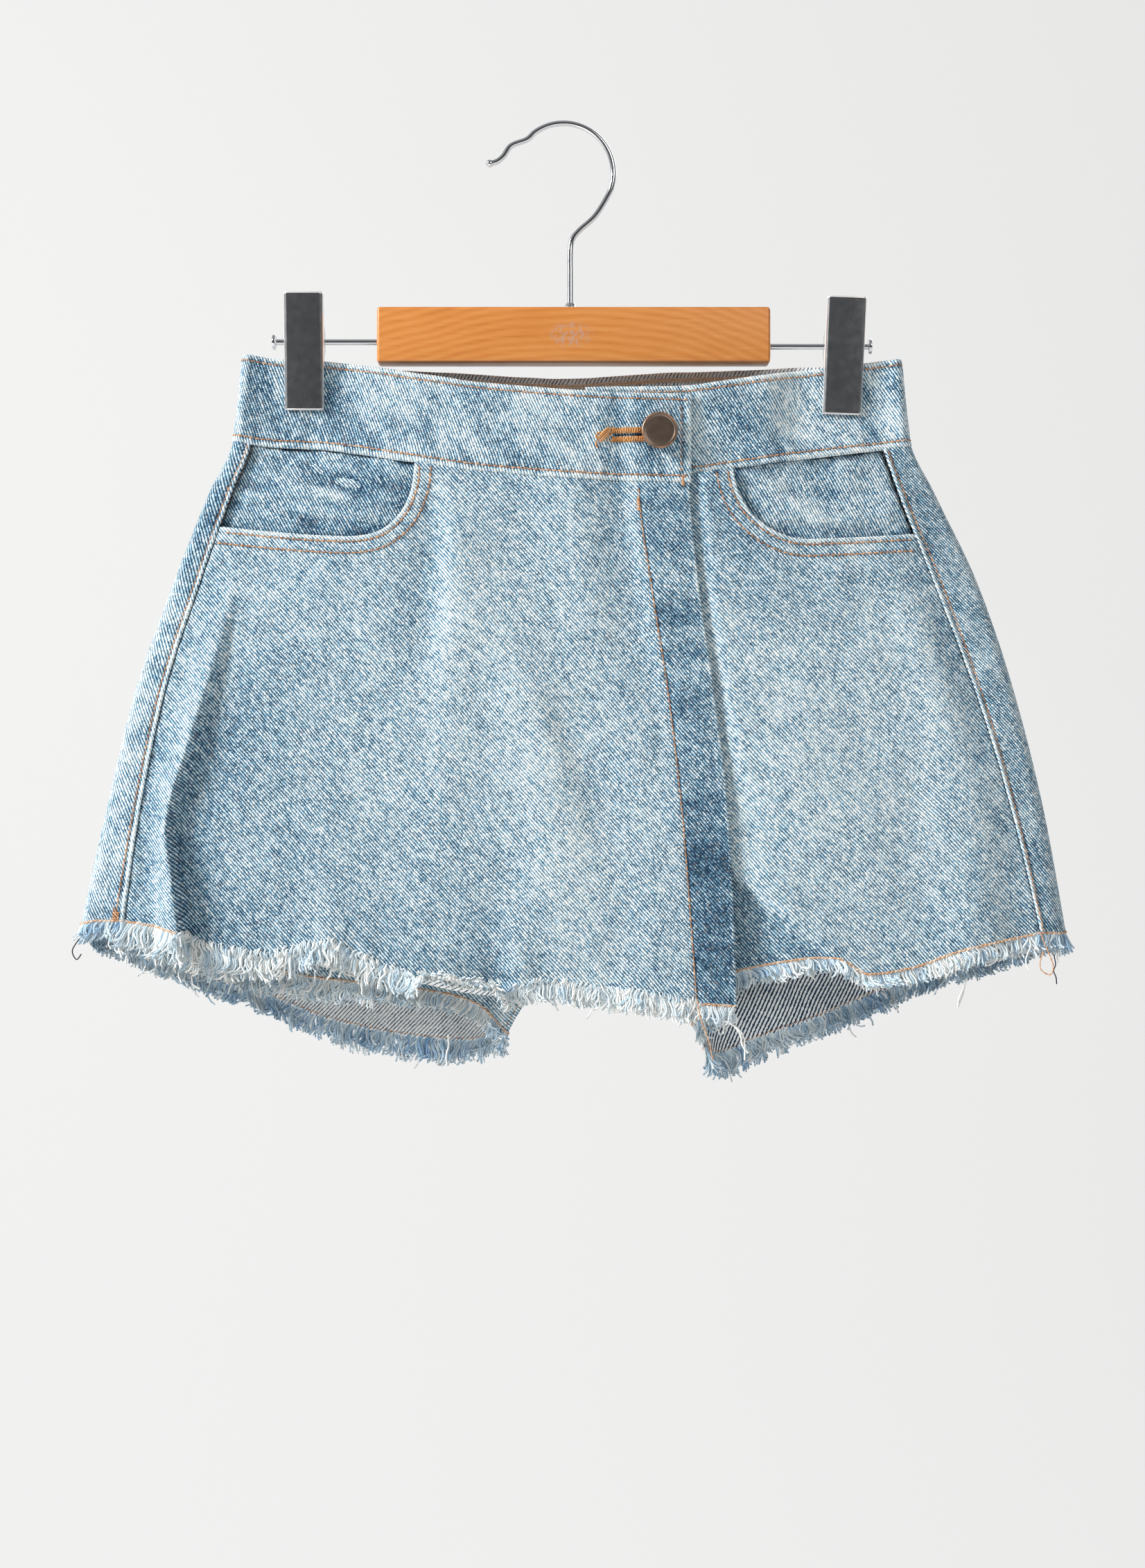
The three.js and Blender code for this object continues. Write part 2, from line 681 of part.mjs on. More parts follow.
// Denim facing seen through a pocket mouth, lying behind the panel that the mouth is cut in
function makePocketFacing(leg) {
  const rows = leg === 'left' ? POCKET_LEFT : POCKET_RIGHT;
  const inward = leg === 'left' ? 1 : -1;
  const panel = leg === 'left' ? wrapSurface(0) : shortsSurface(leg);
  const surface = (x, z) => panel(x, z) + UNDER_POCKET;
  const inner = () => rows[0].x + POCKET_FACING_INSIDE * inward;
  const lowest = Math.min(...rows.map(({ z }) => z)) - POCKET_FACING_BELOW;
  const strands = evenly(9).map((t) => {
    const column = columnOn(surface, between(seamAt[leg], inner, t), FRONT);
    return strand(column, below(panelTop[leg], 2 * BAND_GAP), () => lowest + 6 * t * t);
  });
  add(`pocket_facing_${leg}`, clothWall(strands, evenly(5), FACING), 'denimDark');
}

function waistbandStrands() {
  const front = (t) => columnOn(bandSurface, between(() => BUTTON_END, foldInside.left, t), FRONT);
  const back = (t) => columnOn(bandBackSurface, between(foldInside.left, foldInside.right, t), BACK);
  const under = (t) => columnOn(underlapSurface, between(foldInside.right, () => UNDERLAP_END, t), FRONT);
  const place = (column, edge) => strand(column, edge, below(edge, BAND_HEIGHT));
  return [
    ...evenly(17).slice(0, -1).map((t) => place(front(t), bandTop.left)),
    ...evenly(4).map((turn) => place(columnOnFold('left', turn, BAND_PROUD), bandTop.left)),
    ...evenly(18).slice(1, -1).map((t) => place(back(t), bandTop.back)),
    ...evenly(4).map((turn) => place(columnOnFold('right', 1 - turn, BAND_PROUD), bandTop.right)),
    ...evenly(13).slice(1).map((t) => place(under(t), bandTop.right)),
  ];
}

function buttonholeCut() {
  const shape = new THREE.Shape();
  const left = BUTTON.x - BUTTONHOLE.length;
  const rise = BUTTONHOLE.slit / 2;
  const start = Math.PI - Math.asin(rise / BUTTONHOLE.eye);
  shape.moveTo(left, BUTTON.z + rise);
  shape.lineTo(left, BUTTON.z - rise);
  shape.absarc(BUTTON.x, BUTTON.z, BUTTONHOLE.eye, -start, start, false);
  const outer = bandSurface(BUTTON.x, BUTTON.z);
  return toManifold(prismAlongY(shape, outer - 6, outer + BAND_THICK + 0.25));
}

function makeWaistband() {
  const wall = toManifold(clothWall(waistbandStrands(), evenly(3), BAND_THICK));
  add('waistband', toGeometry(wall.subtract(buttonholeCut())), 'denim');
}

// A small repeatable spread of values between -1 and 1
function spread(seed) {
  let state = seed;
  return () => {
    state = (state * 1103515245 + 12345) % 2147483648;
    return (state / 2147483648) * 2 - 1;
  };
}

function lockGeometry(root, along, normal, fall, length, lean) {
  const stations = [
    { down: -LOCK.root, aside: 0, out: 0, size: 1 },
    { down: length, aside: lean.aside, out: lean.out, size: LOCK.tip },
  ];
  const corners = [{ across: -0.5, over: -0.5 }, { across: 0.5, over: -0.5 }, { across: 0, over: 0.5 }];
  const positions = stations.flatMap(({ down, aside, out, size }) => corners.flatMap(({ across, over }) => {
    const point = root.clone().addScaledVector(fall, down);
    point.addScaledVector(along, aside + across * LOCK.width * size);
    point.addScaledVector(normal, out + over * LOCK.depth * size);
    return point.toArray();
  }));
  const triangles = [0, 1, 2, 5, 4, 3];
  for (let k = 0; k < 3; k += 1) {
    const next = (k + 1) % 3;
    triangles.push(k, k + 3, next);
    triangles.push(next, k + 3, next + 3);
  }
  if (signedVolume(positions, triangles) < 0) triangles.reverse();
  return solidFrom(positions, triangles);
}

const fringeLength = track(FRINGE_LENGTH, 'x', 'length');

// A narrow strip just below a hem, with locks that hang from it
function makeFringe(name, strands, seed) {
  const row = (drop) => strands.map(({ column, bottom }) => column(bottom - drop));
  const grid = [row(HEM_GAP), row(HEM_GAP + LOCK.strip)];
  let fringe = toManifold(wallThrough(grid, DENIM));
  const middle = grid[1].map(({ point, normal }) => point.clone().addScaledVector(normal, -DENIM / 2));
  const hemPath = new THREE.CurvePath();
  middle.slice(1).forEach((point, i) => hemPath.add(new THREE.LineCurve3(middle[i], point)));
  const total = hemPath.getLength();
  const count = Math.round((total - LOCK.width) / LOCK.pitch);
  const pitch = (total - LOCK.width - 1) / count;
  const next = spread(seed);
  const normals = grid[1].map(({ normal }) => normal);
  const starts = hemPath.getCurveLengths();
  for (let i = 0; i <= count; i += 1) {
    const distance = (LOCK.width + 1) / 2 + i * pitch;
    const t = distance / total;
    const root = hemPath.getPointAt(t);
    const along = hemPath.getTangentAt(t);
    const span = starts.findIndex((length) => length >= distance);
    const normal = normals[span].clone().lerp(normals[span + 1], 0.5).normalize();
    const fall = new THREE.Vector3().crossVectors(along, normal).normalize();
    if (fall.z > 0) fall.negate();
    fall.add(new THREE.Vector3(0, 0, -1)).normalize();
    const lean = { aside: next() * 0.45, out: next() * 0.9 };
    const length = fringeLength(root.x) * (1 + next() * 0.22) - LOCK.strip;
    fringe = fringe.add(toManifold(lockGeometry(root, along, normal, fall, length, lean)));
  }
  add(name, toGeometry(fringe), 'fringe');
}

function makeButton() {
  const { radius, rim, dish, shank, stand } = BUTTON;
  const face = bandSurface(BUTTON.x, BUTTON.z);
  const profile = [
    [0, -BAND_THICK - 0.2],
    [shank, -BAND_THICK - 0.2],
    [shank, stand - 0.9],
    [radius * 0.8, stand - 0.9],
    [radius, stand],
    [radius, stand + rim * 0.55],
    [radius * 0.92, stand + rim],
    [radius * 0.8, stand + rim * 0.92],
    [radius * 0.68, stand + dish],
    [0, stand + dish],
  ];
  const button = add('waist_button', turned(profile, 22, 'y'), 'bronze');
  button.rotation.x = Math.PI;
  button.position.set(BUTTON.x, face, BUTTON.z);
}

function makeHook() {
  const points = [[-36.8, -18.3], [-33.4, -17.3], [-30.3, -14.8], [-26.4, -9.6]];
  const centreZ = WIRE.radius - HOOK.radius;
  for (const t of evenly(HOOK.turns)) {
    const angle = THREE.MathUtils.degToRad(mix(HOOK.start - 12, HOOK.end, t));
    points.push([HOOK.x + HOOK.radius * Math.cos(angle), centreZ + HOOK.radius * Math.sin(angle)]);
  }
  points.push([14.8, -44], [7, -51.2], [3.6, -55.6], [STEM_X, -61], [STEM_X, -75]);
  points.push([STEM_X, BAR.top - BAR.bore + 1]);
  const centres = points.map(([x, z]) => new THREE.Vector3(x, 0, z));
  const path = new THREE.CatmullRomCurve3(centres, false, 'centripetal');
  const section = new THREE.Shape();
  section.absarc(0, 0, WIRE.radius, 0, Math.PI * 2, false);
  const wire = new THREE.ExtrudeGeometry(section, {
    steps: WIRE.steps,
    curveSegments: WIRE.sides,
    extrudePath: path,
    bevelEnabled: false,
  });
  const ball = new THREE.SphereGeometry(WIRE.radius * 1.35, 10, 7);
  ball.translate(points[0][0], 0, points[0][1]);
  add('hanger_hook', toGeometry(toManifold(wire).add(toManifold(ball))), 'chrome');
}

function makeCollar() {
  const { radius, height, bore } = COLLAR;
  const base = BAR.top + 0.05;
  const profile = [
    [bore, base],
    [radius, base],
    [radius, base + height * 0.35],
    [radius * 0.78, base + height],
    [bore, base + height],
    [bore, base],
  ];
  const collar = turned(profile, 16, 'z');
  collar.translate(STEM_X, 0, 0);
  add('hanger_collar', collar, 'chrome');
}

function boreAlongX(radius, from, to, z) {
  const bore = new THREE.CylinderGeometry(radius, radius, to - from, 12);
  bore.rotateZ(Math.PI / 2);
  bore.translate((from + to) / 2, 0, z);
  return toManifold(bore);
}

function makeBar() {
  const { left, right, top, bottom, depth, round, bore } = BAR;
  const shape = new THREE.Shape();
  shape.moveTo(left + round, bottom + round);
  shape.lineTo(right - round, bottom + round);
  shape.lineTo(right - round, top - round);
  shape.lineTo(left + round, top - round);
  const geometry = new THREE.ExtrudeGeometry(shape, {
    depth: depth - 2 * round,
    bevelThickness: round,
    bevelSize: round,
    bevelSegments: 2,
  });
  geometry.rotateX(Math.PI / 2);
  geometry.translate(0, depth / 2 - round, 0);
  const stemBore = new THREE.CylinderGeometry(COLLAR.bore, COLLAR.bore, bore * 2, 12);
  stemBore.rotateX(Math.PI / 2);
  stemBore.translate(STEM_X, 0, top);
  const reach = ROD.radius + ROD.fit;
  let bar = toManifold(geometry).subtract(toManifold(stemBore));
  bar = bar.subtract(boreAlongX(reach, left - 5, left + bore, ROD_LEFT.z));
  bar = bar.subtract(boreAlongX(reach, right - bore, right + 5, ROD_RIGHT.z));
  add('hanger_bar', toGeometry(bar), 'wood');
}

// A steel rod from inside the bar's end to a flat nail head
function makeRod(side) {
  const { z, head } = side === 'left' ? ROD_LEFT : ROD_RIGHT;
  const outward = side === 'left' ? -1 : 1;
  const start = side === 'left' ? BAR.left + BAR.bore - 1 : BAR.right - BAR.bore + 1;
  const length = (head - start) * outward;
  const profile = [
    [0, 0],
    [ROD.radius, 0],
    [ROD.radius, length - ROD.headThick],
    [ROD.headRadius, length - ROD.headThick],
    [ROD.headRadius, length - 0.4],
    [ROD.headRadius - 0.6, length],
    [0, length],
  ];
  const rod = add(`hanger_rod_${side}`, turned(profile, 10, 'y'), 'chrome');
  rod.rotation.z = (-Math.PI / 2) * outward;
  rod.position.set(start, 0, z);
}

const sideView = (points) => new THREE.Shape(points.map(([y, z]) => new THREE.Vector2(y, z)));

// Side view of a jaw in y and height above the rod; the plate leans in to the cloth and its ears hold the rod
function jawProfile() {
  return sideView([
    [-CLIP.top, CLIP.above],
    [-CLIP.tip, -CLIP.below],
    [-CLIP.grip, -CLIP.below],
    [-CLIP.grip, -10],
    [-2.2, -5.2],
    [2.4, -5.2],
    [3.6, -3],
    [3.6, 3],
    [2.4, 5.2],
    [-4.6, 6.4],
    [-CLIP.top + 3.6, CLIP.above],
  ]);
}

// The open space behind the plate, between the ears
function jawHollow() {
  const foot = -CLIP.below + 8;
  return sideView([
    [-CLIP.top + CLIP.sheet, CLIP.above + 2],
    [-CLIP.tip - 0.9 + CLIP.sheet, foot],
    [8, foot],
    [8, CLIP.above + 2],
  ]);
}

function plateSolid(shape, width) {
  const geometry = new THREE.ExtrudeGeometry(shape, { depth: width, bevelEnabled: false });
  geometry.rotateX(Math.PI / 2);
  geometry.rotateZ(Math.PI / 2);
  geometry.translate(-width / 2, 0, 0);
  return toManifold(geometry);
}

function jawGeometry(width) {
  const bore = boreAlongX(ROD.radius + ROD.fit, -width, width, 0);
  const hollow = plateSolid(jawHollow(), width - 2 * CLIP.sheet);
  return toGeometry(plateSolid(jawProfile(), width).subtract(hollow).subtract(bore));
}

function springGeometry() {
  const { radius, groove, bore, turns, length } = SPRING;
  const profile = [[bore, -length / 2]];
  for (let turn = 0; turn < turns; turn += 1) {
    const start = -length / 2 + (turn * length) / turns;
    profile.push([groove, start], [radius, start + length / turns / 2]);
  }
  profile.push([groove, length / 2], [bore, length / 2], [bore, -length / 2]);
  return turned(profile, 10, 'x');
}

function makeClip(side) {
  const { x, tilt } = side === 'left' ? CLIP_LEFT : CLIP_RIGHT;
  const { z } = side === 'left' ? ROD_LEFT : ROD_RIGHT;
  const clip = new THREE.Group();
  clip.position.set(x, 0, z);
  clip.rotation.y = tilt;
  model.add(clip);
  add(`clip_${side}_front_jaw`, jawGeometry(CLIP.width), 'chrome', clip);
  const back = add(`clip_${side}_back_jaw`, jawGeometry(CLIP.inner), 'chrome', clip);
  back.rotation.z = Math.PI;
  add(`clip_${side}_spring`, springGeometry(), 'spring', clip);
}

makeWaistband();
const wrapStrands = makeWrap();
makeWrapFacing();
const frontLeft = makeFront('left');
const frontRight = makeFront('right');
const backLeft = makeBack('left');
const backRight = makeBack('right');
makePocketFacing('left');
makePocketFacing('right');
makeFringe('fringe_wrap', wrapStrands, 11);
makeFringe('fringe_front_left', frontLeft, 23);
makeFringe('fringe_front_right', frontRight, 37);
makeFringe('fringe_back_left', backLeft, 41);
makeFringe('fringe_back_right', backRight, 59);
makeButton();
makeHook();
makeCollar();
makeBar();
makeRod('left');
makeRod('right');
makeClip('left');
makeClip('right');

export default model;
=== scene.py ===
import math

import bpy
import numpy as np
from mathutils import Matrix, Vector


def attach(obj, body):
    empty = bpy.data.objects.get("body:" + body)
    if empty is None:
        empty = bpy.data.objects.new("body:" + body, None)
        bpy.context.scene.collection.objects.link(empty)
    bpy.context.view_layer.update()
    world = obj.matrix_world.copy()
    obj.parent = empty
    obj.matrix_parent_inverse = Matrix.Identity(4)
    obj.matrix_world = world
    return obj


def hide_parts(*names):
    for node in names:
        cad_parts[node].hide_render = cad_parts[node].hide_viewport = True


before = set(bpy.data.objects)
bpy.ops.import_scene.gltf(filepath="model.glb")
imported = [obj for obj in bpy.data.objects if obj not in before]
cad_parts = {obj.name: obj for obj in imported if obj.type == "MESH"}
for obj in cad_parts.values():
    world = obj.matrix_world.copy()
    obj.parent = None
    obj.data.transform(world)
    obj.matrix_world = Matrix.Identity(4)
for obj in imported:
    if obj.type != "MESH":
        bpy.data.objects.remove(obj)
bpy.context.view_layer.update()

MM = 0.001
DENIM = 1.4
FACING = 1.2
BAND_THICK = 2.8
BAND_HEIGHT = 43
BAND_PROUD = 0.6
UNDER_FACING = 1.75
UNDER_POCKET = 1.95
UNDER_WRAP = 2.9
UNDERLAP = 3.3
SEAM_GAP = 0.3
BUTTON_END = 61.5
UNDERLAP_END = 10
CROTCH_X, CROTCH_Z = 14, -392
WAIST_BACK_X = 5
LEG_FOLD = 13
BODY_START, BODY_FULL = -143.5, -172
LEFT, RIGHT = -1, 1
TOWARDS_FRONT = (0, -1, 0)
TOWARDS_BACK = (0, 1, 0)


def table(columns, *rows):
    return {name: [row[i] for row in rows] for i, name in enumerate(columns.split())}


OUTLINE = table(
    "z left_edge left_seam facing wrap_edge right_seam right_edge",
    (-111, -157.5, -146, 35, 60.3, 148, 164.3),
    (-155, -162.8, -153, 35.2, 60.3, 154.8, 169.4),
    (-180, -174.5, -162.5, 35.8, 60.6, 162.6, 181.1),
    (-225, -192.2, -178.4, 41.7, 64.8, 180.4, 202.5),
    (-280, -211.4, -195.8, 50.2, 72.5, 201.2, 220.9),
    (-340, -225.8, -207.8, 57, 79.3, 218.9, 235.6),
    (-395, -238, -215.5, 61.3, 82, 231.7, 245.2),
    (-470, -252, -224, 66.5, 84, 246, 256),
)
BODY_DEPTH = table(
    "z front back fold",
    (-150, 14, 11.5, 4.6),
    (-200, 15.5, 12.5, 5.2),
    (-300, 17, 14, 6.5),
    (-400, 19, 15.5, 8),
    (-470, 20, 16.5, 8.5),
)
BAND_DEPTH = table(
    "x front back",
    (-160, 4.6, 4.6),
    (-143, 2.4, 2.4),
    (-111, 2.4, 2.4),
    (-84, 7.6, 6.4),
    (-40, 12.6, 10.2),
    (10, 15, 12),
    (58, 14.6, 11.6),
    (98, 8.6, 7.2),
    (118, 2.4, 2.4),
    (153, 2.4, 2.4),
    (166, 4.6, 4.6),
)
BAND_TOP_LEFT = table(
    "x z",
    (-160, -111.6),
    (-138, -114.8),
    (-117, -115.8),
    (-68, -123.2),
    (-36, -128),
    (20, -132.3),
    (62, -133.5),
)
BAND_TOP_RIGHT = table(
    "x z",
    (10, -129.7),
    (55, -129),
    (82, -125.6),
    (109, -121.4),
    (137, -117.8),
    (166, -114.3),
)
BAND_TOP_BACK = table(
    "x z",
    (-160, -111.6),
    (-127, -115.4),
    (-98, -118.4),
    (-58, -119.6),
    (0, -122.1),
    (50, -119.2),
    (98, -118.4),
    (137, -117.8),
    (166, -114.3),
)
HEM_WRAP = table(
    "x z",
    (-215, -390),
    (-187, -395),
    (-173, -402),
    (-143, -406),
    (-114, -400.5),
    (-102, -406.5),
    (-72, -417),
    (-30, -424),
    (-14, -420),
    (29, -424),
    (64, -429.5),
    (84, -431),
)
HEM_FRONT_LEFT = table(
    "x z",
    (-216, -391.5),
    (-174, -404),
    (-136, -415.5),
    (-96, -420.5),
    (-60, -425),
    (-42, -431),
    (-28, -446),
)
HEM_FRONT_RIGHT = table(
    "x z",
    (60, -446),
    (67, -434),
    (74, -422),
    (84, -414.5),
    (131, -407.5),
    (148, -415.5),
    (168, -412.6),
    (193, -404),
    (231, -396),
)
HEM_BACK_LEFT = table(
    "x z",
    (-240, -393),
    (-206, -406.5),
    (-157, -425),
    (-108, -442.5),
    (-73, -448.5),
    (-49, -450.5),
    (-28, -446),
)
HEM_BACK_RIGHT = table(
    "x z",
    (60, -446),
    (75, -457),
    (94, -450),
    (132, -436.5),
    (170, -421),
    (208, -408),
    (246, -395.5),
)
INSEAM = table(
    "z left right",
    (-392, 14, 14),
    (-410, -4, 34),
    (-432, -20, 56),
    (-448, -29, 66),
    (-475, -38, 74),
)
POCKET_LEFT = [(-73, -160), (-74.2, -178), (-81.5, -193), (-96, -201.5), (-125, -201.4), (-172, -196.6)]
POCKET_RIGHT = [(80.8, -160), (83.4, -178), (92, -192.5), (109, -202.5), (131, -203.2), (176, -200.4)]
POCKET_HEM = (2.7, 8.2)

# Folds that run down the cloth: height towards the outside, and the widths of the two flanks
FOLD = "z x height left right"
FOLDS_FRONT = [
    table(FOLD, (-226, -162, 0, 20, 8), (-255, -168, 3.2, 18, 5), (-300, -181, 7, 16, 4.4), (-345, -192.5, 10, 15, 4),
          (-372, -188.5, 10.5, 15, 4), (-430, -182, 10.5, 16, 4.4)),
    table(FOLD, (-205, -156, 0, 10, 70), (-300, -181, 3, 12, 100), (-372, -188.5, 4, 14, 110), (-430, -182, 4, 14, 110)),
    table(FOLD, (-240, 12, 0, 30, 30), (-430, 8, -3.4, 36, 34)),
    table(FOLD, (-230, 178, 0, 26, 18), (-330, 196, 2.6, 30, 22), (-430, 204, 3.6, 34, 24)),
]
FOLDS_BACK = [
    table(FOLD, (-200, -110, 0, 34, 30), (-330, -136, 3, 34, 30), (-470, -150, 5, 32, 30)),
    table(FOLD, (-220, -60, 0, 26, 26), (-460, -74, -3.4, 30, 28)),
    table(FOLD, (-200, 120, 0, 30, 34), (-330, 140, 3.2, 30, 36), (-470, 156, 4.6, 30, 34)),
]

# Smaller creases: points along each one, its height there, and its width on the left and right of a line that
# runs down the cloth
CREASE = "x z height left right"
CREASES_FRONT = [
    table(CREASE, (-54, -176, 0.4, 6, 9), (-53, -205, 1.9, 6, 13), (-55, -245, 1.7, 8, 15), (-58, -322, 0.3, 12, 16)),
    table(CREASE, (-64, -184, -0.4, 8, 5), (-64, -212, -1.7, 11, 5), (-67, -250, -1.2, 15, 7), (-71, -285, 0, 14, 9)),
    table(CREASE, (26, -134, -0.7, 5, 5), (25, -152, -1.3, 6, 5), (27, -172, -1.5, 9, 5), (30, -205, -1.5, 13, 5),
          (36, -250, -1.2, 15, 6), (44, -290, -0.6, 15, 6), (50, -330, -0.2, 14, 6)),
    table(CREASE, (-42, -199, 0.3, 12, 12), (-31, -245, 0.9, 13, 13), (-17, -280, 1.4, 15, 12), (-5, -312, 1.6, 18, 14),
          (1, -345, 1.9, 20, 18), (5, -380, 2.1, 20, 20), (7, -410, 1.8, 19, 20)),
    table(CREASE, (-8, -276, 0, 6, 9), (0, -297, -1.1, 6, 11), (10, -316, -0.9, 8, 13), (20, -345, -0.7, 9, 14),
          (28, -372, -0.6, 10, 12), (30, -402, -0.3, 10, 12)),
    table(CREASE, (-124, -146, -0.6, 4, 4), (-124, -160, -0.8, 3.5, 4), (-120, -172, -0.3, 4, 5)),
    table(CREASE, (-150, -164, 0.2, 4, 4), (-140, -172, 0.9, 5, 6), (-117, -180, 0.9, 6, 7), (-92, -192, 0.4, 5, 6)),
    table(CREASE, (-140, -166, -0.5, 4, 5), (-118, -173, -1.1, 4, 5), (-96, -178, -1, 4, 4), (-80, -182, -0.4, 3, 4)),
    table(CREASE, (-102, -160, -0.3, 3, 3), (-88, -163, -0.6, 3, 3), (-76, -164, -0.3, 3, 3)),
    table(CREASE, (-165, -192, -0.6, 5, 5), (-158, -180, -0.7, 4, 5), (-150, -172, -0.2, 4, 4)),
    table(CREASE, (-196, -290, -0.8, 5, 6), (-201, -330, -1.4, 5, 6), (-205, -370, -1, 5, 5), (-206, -392, -0.3, 5, 5)),
    table(CREASE, (-34, -350, 0, 14, 12), (-30, -375, 0.2, 12, 9), (-24, -402, 0.8, 9, 7), (-21, -424, 1.5, 8, 7)),
    table(CREASE, (-24, -330, -0.2, 16, 12), (-27, -365, -0.9, 18, 12), (-32, -395, -1.2, 14, 10), (-34, -424, -1.5, 9, 8)),
    table(CREASE, (-113, -360, 0, 16, 16), (-115, -388, 1, 12, 12), (-114, -404, 2, 10, 10)),
    table(CREASE, (2, -172, 0.8, 14, 12), (6, -205, 0.9, 16, 12), (14, -240, 0.4, 16, 14)),
    table(CREASE, (174, -212, -0.4, 8, 6), (186, -240, -1.2, 9, 6), (197, -268, -1.2, 9, 5), (206, -300, -0.4, 9, 5)),
    table(CREASE, (160, -215, 0.4, 12, 10), (172, -250, 1, 12, 10), (182, -285, 0.7, 12, 10), (190, -320, 0, 12, 10)),
    table(CREASE, (190, -262, 0, 5, 5), (200, -264, -0.8, 4, 4), (213, -262, 0.5, 4, 4)),
    table(CREASE, (100, -262, 0, 20, 20), (112, -300, 0.9, 22, 22), (128, -345, 1, 22, 20), (140, -372, 0.3, 20, 20)),
    table(CREASE, (96, -168, -0.3, 4, 4), (112, -177, -0.8, 5, 5), (135, -182, -0.7, 5, 5), (158, -180, -0.2, 4, 4)),
    table(CREASE, (104, -186, 0.2, 5, 5), (124, -193, 0.8, 6, 5), (150, -192, 0.6, 6, 5), (168, -188, 0.1, 5, 5)),
]
CREASES_BACK = [
    table(CREASE, (-118, -150, -0.6, 5, 5), (-116, -172, -1.2, 6, 6), (-108, -205, -0.6, 9, 9), (-102, -240, 0, 12, 12)),
    table(CREASE, (128, -150, -0.6, 5, 5), (126, -174, -1.3, 6, 6), (118, -210, -0.7, 9, 9), (110, -250, 0, 12, 12)),
    table(CREASE, (-60, -165, 0.3, 10, 10), (-66, -210, 1.3, 12, 12), (-80, -270, 1.2, 15, 15), (-92, -330, 0.3, 18, 18)),
    table(CREASE, (62, -165, 0.2, 10, 10), (70, -215, 1.4, 13, 12), (82, -280, 1.1, 16, 15), (90, -350, 0.3, 18, 18)),
    table(CREASE, (-150, -240, 0, 8, 8), (-176, -262, -1.1, 8, 8), (-196, -270, -0.8, 7, 7)),
    table(CREASE, (150, -232, 0, 8, 8), (178, -256, -1.2, 8, 8), (204, -268, -0.8, 7, 7)),
    table(CREASE, (-14, -300, 0, 10, 14), (-24, -345, -1.5, 10, 16), (-46, -392, -1.9, 12, 16), (-62, -440, -0.8, 12, 14)),
    table(CREASE, (30, -300, 0, 14, 10), (42, -345, -1.5, 16, 10), (64, -395, -1.9, 16, 12), (82, -440, -0.8, 14, 12)),
    table(CREASE, (10, -250, 0.2, 18, 18), (12, -320, 1.2, 16, 16), (14, -380, 0.8, 12, 12)),
]
CORNER_FOLD = {"x": 83, "z": -366, "to_x": 144, "to_z": -416, "depth": 5, "width": 6, "reach": 34}
# The wrap's raw edge turns up over this stretch of its hem and shows the reverse of the cloth
CURL = {"start": -78, "full": -66, "fade": -34, "end": -23, "radius": 2.1, "turn": 2.5, "extra": 6.5}


def ease(t):
    held = np.clip(t, 0, 1)
    return held * held * (3 - 2 * held)


def mix(a, b, t):
    return a + (b - a) * t


def track(rows, start, to):
    """Column `to` of a table as a function of column `start`, on a curve that never overshoots its rows."""
    order = np.argsort(rows[start])
    at = np.array(rows[start], float)[order]
    value = np.array(rows[to], float)[order]
    rise = np.diff(value) / np.diff(at)
    before, after = rise[:-1], rise[1:]
    steady = before * after > 0
    middle = np.where(steady, 2 * before * after / np.where(steady, before + after, 1), 0)
    slope = np.concatenate((rise[:1], middle, rise[-1:]))

    def read(place):
        held = np.clip(place, at[0], at[-1])
        i = np.clip(np.searchsorted(at, held, side="right") - 1, 0, len(at) - 2)
        span = at[i + 1] - at[i]
        t = (held - at[i]) / span
        first = (1 + 2 * t) * (1 - t) ** 2 * value[i] + t * (1 - t) ** 2 * span * slope[i]
        return first + t * t * (3 - 2 * t) * value[i + 1] + t * t * (t - 1) * span * slope[i + 1]

    return read


left_edge = track(OUTLINE, "z", "left_edge")
left_seam = track(OUTLINE, "z", "left_seam")
facing_line = track(OUTLINE, "z", "facing")
wrap_edge = track(OUTLINE, "z", "wrap_edge")
right_seam = track(OUTLINE, "z", "right_seam")
right_edge = track(OUTLINE, "z", "right_edge")
fold_radius = track(BODY_DEPTH, "z", "fold")
body_depth = {side: track(BODY_DEPTH, "z", side) for side in ("front", "back")}
band_depth = {side: track(BAND_DEPTH, "x", side) for side in ("front", "back")}
inseam = {LEFT: track(INSEAM, "z", "left"), RIGHT: track(INSEAM, "z", "right")}
band_top = {
    LEFT: track(BAND_TOP_LEFT, "x", "z"),
    RIGHT: track(BAND_TOP_RIGHT, "x", "z"),
    "back": track(BAND_TOP_BACK, "x", "z"),
}
hem_wrap = track(HEM_WRAP, "x", "z")
hem_front = {LEFT: track(HEM_FRONT_LEFT, "x", "z"), RIGHT: track(HEM_FRONT_RIGHT, "x", "z")}
hem_back = {LEFT: track(HEM_BACK_LEFT, "x", "z"), RIGHT: track(HEM_BACK_RIGHT, "x", "z")}


def fold_tracks(rows):
    return {name: track(rows, "z", name) for name in ("x", "height", "left", "right")} | {"start": max(rows["z"])}


folds = {"front": [fold_tracks(rows) for rows in FOLDS_FRONT], "back": [fold_tracks(rows) for rows in FOLDS_BACK]}
creases = {"front": CREASES_FRONT, "back": CREASES_BACK}


def fold_height(shapes, x, z):
    height = np.zeros(np.broadcast(x, z).shape)
    for fold in shapes:
        away = x - fold["x"](z)
        width = np.where(away < 0, fold["left"](z), fold["right"](z))
        height += np.where(z > fold["start"], 0, fold["height"](z) * (1 - ease(np.abs(away) / width)))
    return height


